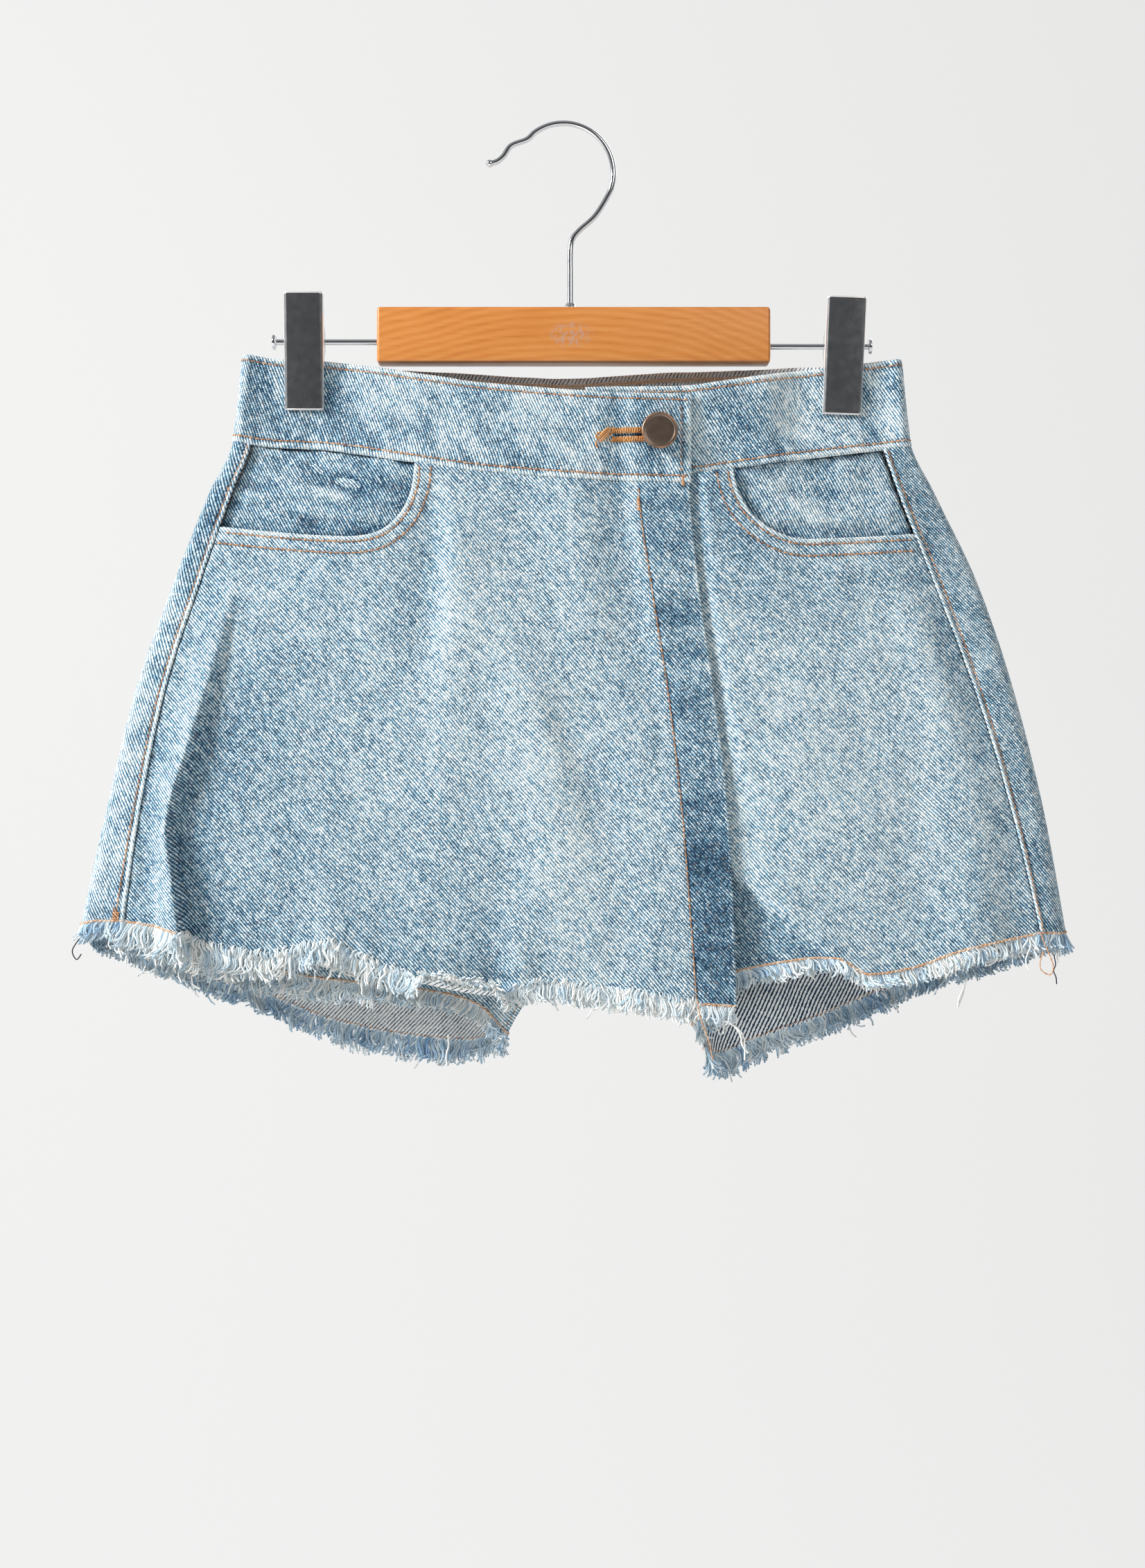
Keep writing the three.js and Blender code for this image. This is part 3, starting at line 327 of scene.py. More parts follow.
def crease_height(shapes, x, z):
    """Sum of creases, each read at its nearest point."""
    total = np.zeros(np.broadcast(x, z).shape)
    for rows in shapes:
        nearest = np.full(total.shape, 1e9)
        height = np.zeros(total.shape)
        points = np.array([rows[name] for name in CREASE.split()], float).T
        for a, b in zip(points, points[1:]):
            run_x, run_z = b[0] - a[0], b[1] - a[1]
            t = np.clip(((x - a[0]) * run_x + (z - a[1]) * run_z) / (run_x ** 2 + run_z ** 2), 0, 1)
            away_x, away_z = x - a[0] - t * run_x, z - a[1] - t * run_z
            distance = np.hypot(away_x, away_z)
            right = run_x * away_z - run_z * away_x > 0
            width = np.where(right, mix(a[4], b[4], t), mix(a[3], b[3], t))
            here = mix(a[2], b[2], t) * np.exp(-(distance / width) ** 2)
            height = np.where(distance < nearest, here, height)
            nearest = np.minimum(distance, nearest)
        total += height
    return total


def waves(u, v, size, seed, stretch=1.0):
    """A smooth repeatable unevenness between about -1 and 1, with bumps of about the given size."""
    rng = np.random.default_rng(seed)
    total = 0
    for _ in range(7):
        angle = rng.uniform(0, 2 * math.pi)
        length = size * rng.uniform(0.75, 1.9)
        phase = rng.uniform(0, 2 * math.pi, 2)
        along = (u * math.cos(angle) + v / stretch * math.sin(angle)) * 2 * math.pi / length
        across = (v / stretch * math.cos(angle) - u * math.sin(angle)) * 2 * math.pi / length
        total = total + np.sin(along + phase[0] + 1.2 * np.sin(across * 0.6 + phase[1]))
    return total / 3.4


def bars(s, size, seed):
    """Uneven waves along a seam, from about -1 to 1."""
    phase = np.random.default_rng(seed).uniform(0, 6, 3)
    turn = s * 2 * math.pi / size
    return np.sin(turn + 1.6 * np.sin(turn * 0.37 + phase[0]) + phase[1]) * (0.7 + 0.3 * np.sin(turn * 0.23 + phase[2]))


def plain_stand_off(side, x, z):
    radius = fold_radius(z)
    left, right = left_edge(z) + radius, right_edge(z) - radius
    across = np.clip((2 * x - left - right) / (right - left), -1, 1)
    body = radius + (body_depth[side](z) - radius) * (1 - np.abs(across) ** 2.6)
    return mix(band_depth[side](x), body, ease((BODY_START - z) / (BODY_START - BODY_FULL)))


def stand_off(side, x, z):
    from_edge = np.minimum(x - left_edge(z), right_edge(z) - x)
    small = 1.35 * crease_height(creases[side], x, z) + 0.22 * waves(x, z, 26, 5 if side == "front" else 6)
    shaped = fold_height(folds[side], x, z) * ease((from_edge - 6) / 14) + small * ease(from_edge / 9)
    return plain_stand_off(side, x, z) + shaped


def front_y(x, z):
    return -stand_off("front", x, z)


def back_y(x, z):
    return stand_off("back", x, z)


def closing(leg, x, z):
    """The front and back of a leg close towards each other round its inner edge."""
    from_crotch = np.hypot(x - CROTCH_X, z - CROTCH_Z)
    from_edge = np.maximum((x - inseam[leg](z)) * leg, 0)
    t = np.clip(np.where(z > CROTCH_Z, from_crotch, from_edge) / LEG_FOLD, 0, 1)
    return np.sqrt(1 - (1 - t) ** 2)


def corner_under(x, z):
    """Distance below the diagonal line where the right front's corner falls back."""
    run_x, run_z = CORNER_FOLD["to_x"] - CORNER_FOLD["x"], CORNER_FOLD["to_z"] - CORNER_FOLD["z"]
    run = math.hypot(run_x, run_z)
    return ((x - CORNER_FOLD["x"]) * run_z - (z - CORNER_FOLD["z"]) * run_x) / run


def corner_drop(x, z):
    fade = ease((x - CORNER_FOLD["x"] + CORNER_FOLD["reach"]) / CORNER_FOLD["reach"])
    under = corner_under(x, z)
    lip = 0.8 * np.exp(-((under + 3) / 7) ** 2) * ease((x - 84) / 24)
    return (CORNER_FOLD["depth"] * ease(under / CORNER_FOLD["width"]) - lip) * fade


def left_front_y(x, z):
    from_seam = ease((x - left_seam(z)) / 42)
    from_band = ease((-185 - z) / 65)
    soft = 0.5 * waves(x, z, 40, 8) * from_seam * from_band
    return -plain_stand_off("front", x, z) + UNDER_WRAP + 1 + 5.5 * from_seam * from_band + soft


def right_front_y(x, z):
    rise = mix(9, 30, ease((-300 - z) / 60))
    return front_y(x, z) + UNDER_WRAP * (1 - ease((x - wrap_edge(z) - 0.4) / rise)) + corner_drop(x, z)


def shorts_y(leg):
    depth = left_front_y if leg == LEFT else right_front_y
    return lambda x, z: (depth(x, z) + SEAM_GAP) * closing(leg, x, z) - SEAM_GAP


def shorts_back_y(leg):
    return lambda x, z: (back_y(x, z) - SEAM_GAP) * closing(leg, x, z) + SEAM_GAP


def band_y(x, z):
    ripple = 0.35 * waves(x * 1.0 + z * 0.5, z * 0.6, 15, 21)
    return front_y(x, z) - BAND_PROUD - ripple * ease((np.abs(x - 5) - 0) / 30) * ease((118 - np.abs(x)) / 20)


def band_back_y(x, z):
    return back_y(x, z) + BAND_PROUD + 0.3 * waves(x, z * 0.6, 17, 22) * ease((112 - np.abs(x)) / 20)


def underlap_y(x, z):
    return band_y(x, z) + UNDERLAP * (1 - ease((x - BUTTON_END - 4) / 34))


def spline(points, steps=10):
    """Catmull-Rom curve through points, ends kept."""
    given = np.array(points, float)
    held = np.vstack((given[:1], given, given[-1:]))
    made = []
    for i in range(len(given) - 1):
        p0, p1, p2, p3 = held[i:i + 4]
        for t in np.arange(steps) / steps:
            made.append(0.5 * (2 * p1 + (p2 - p0) * t + (2 * p0 - 5 * p1 + 4 * p2 - p3) * t * t
                               + (3 * p1 - p0 - 3 * p2 + p3) * t ** 3))
    made.append(given[-1])
    return np.array(made)


def distance_to(line, x, z):
    nearest = np.full(np.broadcast(x, z).shape, 1e9)
    for a, b in zip(line, line[1:]):
        run_x, run_z = b[0] - a[0], b[1] - a[1]
        t = np.clip(((x - a[0]) * run_x + (z - a[1]) * run_z) / (run_x ** 2 + run_z ** 2), 0, 1)
        nearest = np.minimum(nearest, np.hypot(x - a[0] - t * run_x, z - a[1] - t * run_z))
    return nearest


def spaced(*stops):
    """Places from the first stop to the last, as far apart as each stop says, given as (place, gap)."""
    at, gap = zip(*stops)
    fine = np.linspace(at[0], at[-1], 4000)
    density = 1 / np.interp(fine, at, gap)
    total = np.concatenate(([0], np.cumsum((density[1:] + density[:-1]) / 2 * np.diff(fine))))
    return np.interp(np.linspace(0, total[-1], int(round(total[-1])) + 1), total, fine)


def shares(places):
    return (places - places[0]) / (places[-1] - places[0])


# Columns of a piece: how many, and a function from heights (rows by columns) to points
def panel(surface, start, end, along):
    def place(z):
        x = mix(start(z), end(z), along)
        return np.stack((x, surface(x, z), z), -1)

    return len(along), place


def side_fold(side, turns, proud):
    def place(z):
        radius = fold_radius(z)
        edge = left_edge(z) if side == LEFT else right_edge(z)
        angle = math.pi * turns
        x = edge - radius * side + np.sin(angle) * side * (radius + proud)
        return np.stack((x, -np.cos(angle) * (radius + proud), z), -1)

    return len(turns), place


def joined(*parts):
    ends = np.cumsum([0] + [count for count, _ in parts])

    def place(z):
        return np.concatenate([part(z[:, a:b]) for (_, part), a, b in zip(parts, ends, ends[1:])], 1)

    return int(ends[-1]), place


def meet(columns, edge):
    """Height of each column where it crosses an edge, given as a height for each x."""
    count, place = columns
    high, low = np.full((1, count), -85.0), np.full((1, count), -485.0)
    for _ in range(30):
        z = (high + low) / 2
        above = z > edge(place(z)[..., 0])
        high, low = np.where(above, z, high), np.where(above, low, z)
    return (high + low) / 2


def heights(top, bottom, head, gap):
    """Rows between two edges: `head` gives distances below the top, and the rest are spread evenly."""
    start = top - head[-1]
    rest = np.linspace(0, 1, max(int(np.max(start - bottom) / gap), 2) + 1)[1:]
    near = 1 - np.array([1.6, 0.8, 0.3, 0]) / np.max(start - bottom)
    rest = np.concatenate((rest[rest < near[0] - 0.4 * rest[0]], near))
    return np.vstack((top - head[:, None], mix(start, bottom, rest[:, None])))


def normals_of(points, outward):
    normal = np.cross(np.gradient(points, axis=1), np.gradient(points, axis=0))
    normal /= np.linalg.norm(normal, axis=-1, keepdims=True) + 1e-12
    middle = normal[len(normal) // 2, normal.shape[1] // 3]
    return normal if np.dot(middle, outward) > 0 else -normal


def run_lengths(points, axis):
    steps = np.linalg.norm(np.diff(points, axis=axis), axis=-1)
    start = np.zeros_like(np.take(steps, [0], axis))
    return np.concatenate((start, np.cumsum(steps, axis)), axis)


def from_rim(points):
    """Distance of each point from the nearest edge of its grid."""
    across, down = run_lengths(points, 1), run_lengths(points, 0)
    return np.minimum.reduce((across, across[:, -1:] - across, down, down[-1:] - down))


def new_object(name, points, faces, materials, of_face=None, looks=None, smooth=True):
    mesh = bpy.data.meshes.new(name)
    mesh.from_pydata((np.asarray(points) * MM).tolist(), [], faces)
    for material in materials:
        mesh.materials.append(material)
    if of_face is not None:
        mesh.polygons.foreach_set("material_index", np.asarray(of_face, np.int32))
    mesh.polygons.foreach_set("use_smooth", np.full(len(mesh.polygons), smooth))
    for key, values in (looks or {}).items():
        flat = np.asarray(values, np.float32)
        if flat.ndim == 2:
            mesh.attributes.new(key, "FLOAT_VECTOR", "POINT").data.foreach_set("vector", flat.ravel())
        else:
            mesh.attributes.new(key, "FLOAT", "POINT").data.foreach_set("value", flat)
    mesh.update()
    made = bpy.data.objects.new(name, mesh)
    bpy.context.scene.collection.objects.link(made)
    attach(made, "root")
    return made


def shell(name, points, normals, thickness, looks, materials, rim=None):
    """A thin cloth wall with rounded edges, from its outer points and a little way in."""
    rows, columns = points.shape[:2]
    edge = from_rim(points) if rim is None else rim
    half = thickness / 2
    drop = 0.85 * half * (1 - np.sqrt(1 - (1 - np.clip(edge / half, 0, 1)) ** 2))[..., None]
    outer = (points - normals * drop).reshape(-1, 3)
    inner = (points - normals * (thickness - drop)).reshape(-1, 3)
    far = len(outer)
    index = np.arange(far).reshape(rows, columns)
    a, b, c, d = index[:-1, :-1], index[1:, :-1], index[1:, 1:], index[:-1, 1:]
    quads = np.stack((a, b, c, d), -1).reshape(-1, 4)
    loop = np.concatenate((index[0, :-1], index[:-1, -1], index[-1, :0:-1], index[:0:-1, 0]))
    after = np.roll(loop, -1)
    rim_quads = np.stack((loop, after, after + far, loop + far), -1)
    facing = np.cross(points[1, 0] - points[0, 0], points[0, 1] - points[0, 0])
    if np.dot(facing, normals[0, 0]) < 0:
        quads, rim_quads = quads[:, ::-1], rim_quads[:, ::-1]
    faces = np.vstack((quads, quads[:, ::-1] + far, rim_quads))
    of_face = np.concatenate((np.zeros(len(quads)), np.ones(len(quads)), np.zeros(len(rim_quads))))
    both = {key: np.concatenate([values.reshape(far, -1).squeeze()] * 2) for key, values in looks.items()}
    return new_object(name, np.vstack((outer, inner)), faces.tolist(), materials, of_face, both)


def grain(u, v, angle, seed):
    """Cloth coordinates: across the twill lines, along them, and down the warp."""
    a = math.radians(angle)
    shift = 37.3 * seed
    return np.stack((u * math.sin(a) + v * math.cos(a) + shift, u * math.cos(a) - v * math.sin(a) + shift, u + shift), -1)


# Materials
class Shader:
    def __init__(self, name):
        self.material = bpy.data.materials.new(name)
        self.material.use_nodes = True
        self.tree = self.material.node_tree
        self.surface = self.tree.nodes["Principled BSDF"]

    def node(self, kind, settings=None, **inputs):
        made = self.tree.nodes.new("ShaderNode" + kind)
        for key, value in (settings or {}).items():
            setattr(made, key, value)
        for key, value in inputs.items():
            self.put(made.inputs[key.replace("_", " ")], value)
        return made

    def put(self, socket, value):
        if isinstance(value, bpy.types.NodeSocket):
            self.tree.links.new(value, socket)
        else:
            socket.default_value = value

    def calc(self, operation, *values):
        made = self.node("Math", {"operation": operation})
        for socket, value in zip(made.inputs, values):
            self.put(socket, value)
        return made.outputs[0]

    def value(self, name):
        return self.node("Attribute", {"attribute_name": name}).outputs["Fac"]

    def parts(self, name):
        vector = self.node("Attribute", {"attribute_name": name}).outputs["Vector"]
        return self.node("SeparateXYZ", Vector=vector).outputs

    def join(self, x, y, z=0.0):
        return self.node("CombineXYZ", X=x, Y=y, Z=z).outputs[0]

    def noise(self, vector, scale, detail=2.0, rough=0.5):
        made = self.node("TexNoise", Vector=vector, Scale=scale, Detail=detail, Roughness=rough)
        return made.outputs["Fac"]

    def random(self, x, y, z=0.0):
        return self.node("TexWhiteNoise", {"noise_dimensions": "3D"}, Vector=self.join(x, y, z)).outputs["Value"]

    def smooth(self, value, start, end, low=0.0, high=1.0):
        made = self.node("MapRange", {"interpolation_type": "SMOOTHSTEP"}, Value=value, From_Min=start, From_Max=end,
                         To_Min=low, To_Max=high)
        return made.outputs[0]

    def ramp(self, value, *stops):
        made = self.node("ValToRGB", Fac=value)
        elements = made.color_ramp.elements
        while len(elements) < len(stops):
            elements.new(0.5)
        for element, (place, colour) in zip(elements, stops):
            element.position = place
            element.color = (*colour, 1)
        return made.outputs[0]

    def blend(self, factor, a, b, kind="MIX"):
        made = self.node("Mix", {"data_type": "RGBA", "blend_type": kind})
        self.put(made.inputs[0], factor)
        for socket, value in ((made.inputs[6], a), (made.inputs[7], b)):
            self.put(socket, value if isinstance(value, bpy.types.NodeSocket) else (*value, 1))
        return made.outputs[2]

    def bump(self, height, distance, strength=1.0, under=None):
        made = self.node("Bump", Height=height, Distance=distance, Strength=strength)
        if under is not None:
            self.put(made.inputs["Normal"], under)
        return made.outputs[0]

    def finish(self, **inputs):
        for key, value in inputs.items():
            self.put(self.surface.inputs[key.replace("_", " ")], value)
        return self.material


BEAD = 0.95


def weave(shader, wale=1.3):
    """Twill lines of short floats: ridge height, a random value for each float and one for each run of floats."""
    cloth = shader.parts("cloth")
    flat = shader.join(cloth[0], cloth[1])
    wander = shader.calc("SUBTRACT", shader.noise(flat, 0.03, 1.0), 0.5)
    jitter = shader.calc("SUBTRACT", shader.noise(flat, 0.9, 1.0), 0.5)
    line = shader.calc("MULTIPLY_ADD", wander, 1.7, shader.calc("DIVIDE", cloth[0], wale))
    line = shader.calc("MULTIPLY_ADD", jitter, 0.5, line)
    number = shader.calc("FLOOR", line)
    wave = shader.calc("COSINE", shader.calc("MULTIPLY", line, 2 * math.pi))
    ridge = shader.calc("POWER", shader.calc("MULTIPLY_ADD", wave, -0.5, 0.5), 0.62)
    offset = shader.calc("MULTIPLY", shader.random(number, 3.7), 9.0)
    place = shader.calc("ADD", shader.calc("DIVIDE", cloth[1], BEAD), offset)
    float_number = shader.calc("FLOOR", place)
    single = shader.random(number, float_number, 1.0)
    run = shader.random(number, shader.calc("FLOOR", shader.calc("MULTIPLY", place, 0.27)), 2.0)
    bead = shader.calc("PINGPONG", place, 0.5)
    return cloth, flat, ridge, single, run, bead


def weave_bump(shader, ridge, single, bead, under=None):
    height = shader.calc("MULTIPLY_ADD", bead, 0.3, shader.calc("MULTIPLY", ridge, 0.8))
    return shader.bump(shader.calc("MULTIPLY_ADD", single, 0.4, height), 0.00040, 0.85, under)


def denim(name, mean=0.66, contrast=1.0):
    shader = Shader(name)
    cloth, flat, ridge, single, run, bead = weave(shader)
    slub = shader.noise(shader.join(cloth[2], shader.calc("MULTIPLY", cloth[1], 0.05)), 1.1, 2.0)
    cloudy = shader.noise(flat, 0.06, 3.0, 0.55)
    patchy = shader.noise(flat, 0.35, 2.0, 0.5)
    # The wash attribute holds the cloth's own fading together with painted light and shade on some panels
    level = shader.calc("MULTIPLY_ADD", shader.value("wash_and_painted_light"), 0.3, mean - 0.06)
    crown = shader.calc("MULTIPLY", ridge, shader.calc("MULTIPLY_ADD", bead, 2.0, 0.1))
    for part, amount in ((single, 0.42 * contrast), (run, 0.28 * contrast), (ridge, 0.50 * contrast), (crown, 0.52 * contrast),
                         (slub, 0.14), (cloudy, 0.11), (patchy, 0.10)):
        level = shader.calc("MULTIPLY_ADD", shader.calc("SUBTRACT", part, 0.45), amount, level)
    worn = shader.smooth(shader.value("edge"), 3.4, 0.8, 0.0, 0.30)
    dark = shader.smooth(shader.value("stitch"), 1.5, 0.3, 0.0, -0.20)
    level = shader.calc("ADD", level, shader.calc("ADD", worn, dark))
    # The ink attribute darkens seam lines and also carries painted shade in the buttonhole slit and under the pocket
    # mouths
    level = shader.calc("SUBTRACT", level, shader.value("ink_and_painted_shade"))
    colour = shader.ramp(level, (0.0, (0.012, 0.038, 0.075)), (0.27, (0.060, 0.172, 0.315)), (0.5, (0.222, 0.42, 0.56)),
                         (0.74, (0.58, 0.74, 0.775)), (1.0, (0.99, 0.985, 0.93)))
    hue = shader.random(run, single, 5.0)
    warm = shader.calc("MULTIPLY", shader.smooth(hue, 0.78, 0.95, 0.0, 0.28), ridge)
    cool = shader.calc("MULTIPLY", shader.smooth(hue, 0.36, 0.05, 0.0, 0.5), ridge)
    colour = shader.blend(warm, colour, (0.80, 0.72, 0.62))
    colour = shader.blend(cool, colour, (0.30, 0.58, 0.76))
    return shader.finish(Base_Color=colour, Roughness=0.9,
                         Normal=weave_bump(shader, ridge, single, bead, shader.bump(patchy, 0.0005, 0.5)),
                         Sheen_Weight=0.15, Sheen_Roughness=0.5, Specular_IOR_Level=0.2)


def reverse_denim(name, mean=0.80):
    """The inside of the cloth: off-white with thin dark diagonals."""
    shader = Shader(name)
    cloth, flat, ridge, single, run, bead = weave(shader, 1.65)
    level = shader.calc("MULTIPLY_ADD", shader.calc("SUBTRACT", ridge, 0.62), 2.3, mean - 0.08)
    for part, amount in ((single, 0.24), (run, 0.3), (shader.noise(flat, 0.1, 3.0, 0.6), 0.35)):
        level = shader.calc("MULTIPLY_ADD", shader.calc("SUBTRACT", part, 0.5), amount, level)
    # The ink attribute darkens seam lines and carries painted shade
    level = shader.calc("SUBTRACT", level, shader.value("ink_and_painted_shade"))
    colour = shader.ramp(level, (0.0, (0.02, 0.04, 0.075)), (0.35, (0.12, 0.21, 0.32)), (0.62, (0.50, 0.60, 0.66)),
                         (1.0, (1.0, 1.0, 0.98)))
    return shader.finish(Base_Color=colour, Roughness=0.92, Normal=weave_bump(shader, ridge, single, bead),
                         Sheen_Weight=0.15, Sheen_Roughness=0.5, Specular_IOR_Level=0.2)


def yarn_material(name, *stops):
    """Thread and fringe: colour from each strand's own value, with a fine twist along it."""
    shader = Shader(name)
    twist = shader.parts("twist")
    turn = shader.calc("SINE", shader.calc("ADD", shader.calc("MULTIPLY", twist[0], 5.2), twist[1]))
    level = shader.calc("MULTIPLY_ADD", turn, 0.06, twist[2])
    colour = shader.ramp(level, *stops)
    return shader.finish(Base_Color=colour, Roughness=0.85, Normal=shader.bump(turn, 0.00012, 0.5),
                         Sheen_Weight=0.25, Sheen_Roughness=0.4, Specular_IOR_Level=0.25)


def metal(name, colour, worn, roughness, wear=0.35, scratch=0.04, metallic=1.0, painted_rim_highlight=0.0):
    """Plated metal with fine scratches and wear where the metal bends, and a painted highlight that can whiten the rim.
    """
    shader = Shader(name)
    place = shader.node("TexCoord").outputs["Object"]
    lines = shader.noise(shader.node("Mapping", Vector=place, Scale=(900, 500, 90)).outputs[0], 1.0, 4.0, 0.65)
    spots = shader.noise(place, 260.0, 5.0, 0.7)
    rubbed = shader.calc("MULTIPLY", shader.smooth(shader.value("rim"), 0.35, 1.0), shader.smooth(spots, 0.35, 0.62))
    tint = shader.blend(shader.calc("MULTIPLY", rubbed, wear), colour, worn)
    tint = shader.blend(shader.smooth(lines, 0.62, 0.8, 0.0, 0.5), tint, worn)
    rough = shader.calc("MULTIPLY_ADD", shader.calc("SUBTRACT", spots, 0.5), 0.18, roughness)
    # Painted highlight: the rim is painted near white and made less metallic, standing in for the bright reflection on
    # the bevel
    if painted_rim_highlight:
        edge = shader.smooth(shader.value("rim"), 0.75, 1.0)
        tint = shader.blend(edge, tint, (0.93, 0.92, 0.90))
        metallic = shader.calc("MULTIPLY_ADD", edge, -painted_rim_highlight, metallic)
    return shader.finish(Base_Color=tint, Metallic=metallic, Roughness=rough, Normal=shader.bump(lines, 0.00008, scratch))


def wood(name):
    """Lacquered pale wood: long grain, fine pores, a bare rubbed patch in the middle of the front and painted shade on
    the underside.
    """
    shader = Shader(name)
    place = shader.node("TexCoord").outputs["Object"]
    along = shader.node("Mapping", Vector=place, Scale=(9, 60, 60)).outputs[0]
    drift = shader.noise(shader.node("Mapping", Vector=place, Scale=(11, 20, 20)).outputs[0], 1.0, 3.0)
    x, y, z = shader.node("SeparateXYZ", Vector=place).outputs
    bend = shader.calc("MULTIPLY_ADD", shader.calc("MULTIPLY", x, x), 2.2, z)
    rings = shader.calc("MULTIPLY_ADD", drift, 0.012, bend)
    line = shader.calc("MULTIPLY_ADD", shader.calc("SINE", shader.calc("MULTIPLY", rings, 1500.0)), 0.5, 0.5)
    fine = shader.noise(shader.node("Mapping", Vector=place, Scale=(70, 900, 900)).outputs[0], 1.0, 4.0, 0.6)
    level = shader.calc("MULTIPLY_ADD", line, 0.20, shader.calc("MULTIPLY", fine, 0.5))
    level = shader.calc("MULTIPLY_ADD", shader.noise(along, 1.0, 3.0), 0.45, level)
    colour = shader.ramp(level, (0.15, (0.44, 0.135, 0.028)), (0.5, (0.62, 0.225, 0.048)), (0.85, (0.71, 0.30, 0.082)))
    left = shader.calc("SUBTRACT", x, 0.003)
    up = shader.calc("ADD", z, 0.1035)
    reach = shader.calc("ADD", shader.calc("MULTIPLY", shader.calc("MULTIPLY", left, left), 6400.0),
                        shader.calc("MULTIPLY", shader.calc("MULTIPLY", up, up), 17000.0))
    speck = shader.noise(place, 420.0, 4.0, 0.7)
    rubbed = shader.calc("MULTIPLY", shader.smooth(reach, 1.0, 0.1), shader.smooth(speck, 0.47, 0.56))
    rubbed = shader.calc("MULTIPLY", rubbed, shader.smooth(y, 0.0, -0.004, 0.0, 0.6))
    colour = shader.blend(rubbed, colour, (0.47, 0.34, 0.29))
    # Painted shade: the underside of the bar is painted darker, as the light comes from above
    colour = shader.blend(shader.smooth(z, -0.1158, -0.1166, 0.0, 0.6), colour, (0.16, 0.075, 0.035))
    return shader.finish(Base_Color=colour, Roughness=shader.calc("MULTIPLY_ADD", fine, 0.2, 0.26),
                         Normal=shader.bump(fine, 0.0001, 0.25), Coat_Weight=0.12, Coat_Roughness=0.25)


FACE = denim("denim_face", 0.58, 1.2)
DARK_FACE = denim("denim_pocket_facing", 0.475, 1.2)
# Copies of the reverse with painted light and painted shade: the first is painted lighter where the inside shows in
# shade, the second is painted darker, and the one for the inside of the back of the band is painted lighter again
REVERSE_PAINTED_LIGHT = reverse_denim("denim_reverse_painted_light", 1.27)
REVERSE_SHADED = reverse_denim("denim_reverse_shaded", 0.66)
REVERSE_BAND_PAINTED_LIGHT = reverse_denim("denim_band_inside_painted_light", 1.4)
FRINGE = yarn_material("fringe_yarn", (0.0, (0.12, 0.25, 0.44)), (0.3, (0.28, 0.46, 0.65)), (0.6, (0.56, 0.71, 0.81)),
                       (0.85, (0.84, 0.90, 0.91)), (1.0, (0.97, 0.97, 0.93)))
THREAD = yarn_material("orange_thread", (0.0, (0.20, 0.09, 0.05)), (0.4, (0.46, 0.22, 0.11)), (0.75, (0.70, 0.38, 0.20)),
                       (1.0, (0.86, 0.66, 0.50)))
BROWN_THREAD = yarn_material("buttonhole_thread", (0.0, (0.40, 0.15, 0.04)), (0.5, (0.66, 0.29, 0.08)),
                             (1.0, (0.84, 0.47, 0.20)))
NAVY_THREAD = yarn_material("navy_thread", (0.0, (0.01, 0.012, 0.025)), (1.0, (0.05, 0.055, 0.09)))
BRONZE = metal("button_metal", (0.225, 0.165, 0.13), (0.62, 0.33, 0.19), 0.38, 0.9, 0.05)
CHROME = metal("chrome", (0.72, 0.73, 0.75), (0.60, 0.50, 0.42), 0.14, 0.5, 0.03)
CLIP_METAL = metal("clip_chrome", (0.66, 0.67, 0.69), (0.62, 0.43, 0.33), 0.2, 0.8, 0.09, painted_rim_highlight=0.6)
SPRING_STEEL = metal("spring_steel", (0.46, 0.38, 0.28), (0.62, 0.52, 0.38), 0.34)
WOOD = wood("hanger_wood")


# Strands, stitches and threads
def ring_frames(path):
    """Two directions square to a path at each of its points; paths are strands by points."""
    tangent = np.gradient(path, axis=1)
    tangent /= np.linalg.norm(tangent, axis=-1, keepdims=True) + 1e-12
    helper = np.where(np.abs(tangent[..., 1:2]) < 0.9, np.array([0.0, 1.0, 0.0]), np.array([1.0, 0.0, 0.0]))
    side = np.cross(tangent, helper)
    side /= np.linalg.norm(side, axis=-1, keepdims=True) + 1e-12
    return side, np.cross(tangent, side)


def strands(name, paths, radii, level, material, sides=4):
    """Many closed strands in one mesh: paths (n, points, 3), radii (n, points), a colour value for each strand."""
    count, steps = paths.shape[:2]
    side, over = ring_frames(paths)
    angle = np.arange(sides) * 2 * math.pi / sides
    ring = side[:, :, None] * np.cos(angle)[:, None] + over[:, :, None] * np.sin(angle)[:, None]
    points = paths[:, :, None] + ring * radii[:, :, None, None]
    index = np.arange(count * steps * sides).reshape(count, steps, sides)
    onward = np.roll(index, -1, axis=2)
    quads = np.stack((index[:, :-1], index[:, 1:], onward[:, 1:], onward[:, :-1]), -1).reshape(-1, 4)
    faces = quads[:, ::-1].tolist() + index[:, 0].tolist() + index[:, -1, ::-1].tolist()
    length = run_lengths(paths, 1)[:, :, None]
    twist = np.stack(np.broadcast_arrays(length, angle, level[:, None, None]), -1)
    return new_object(name, points.reshape(-1, 3), faces, [material], None, {"twist": twist.reshape(-1, 3)})


def along_line(points, *fields):
    """Reads a line of points, and anything kept with them, at distances along it."""
    steps = np.linalg.norm(np.diff(points, axis=0), axis=1)
    total = np.concatenate(([0], np.cumsum(steps)))
    return total, lambda s: [np.stack([np.interp(s, total, f[:, k]) for k in range(3)], -1) for f in (points, *fields)]


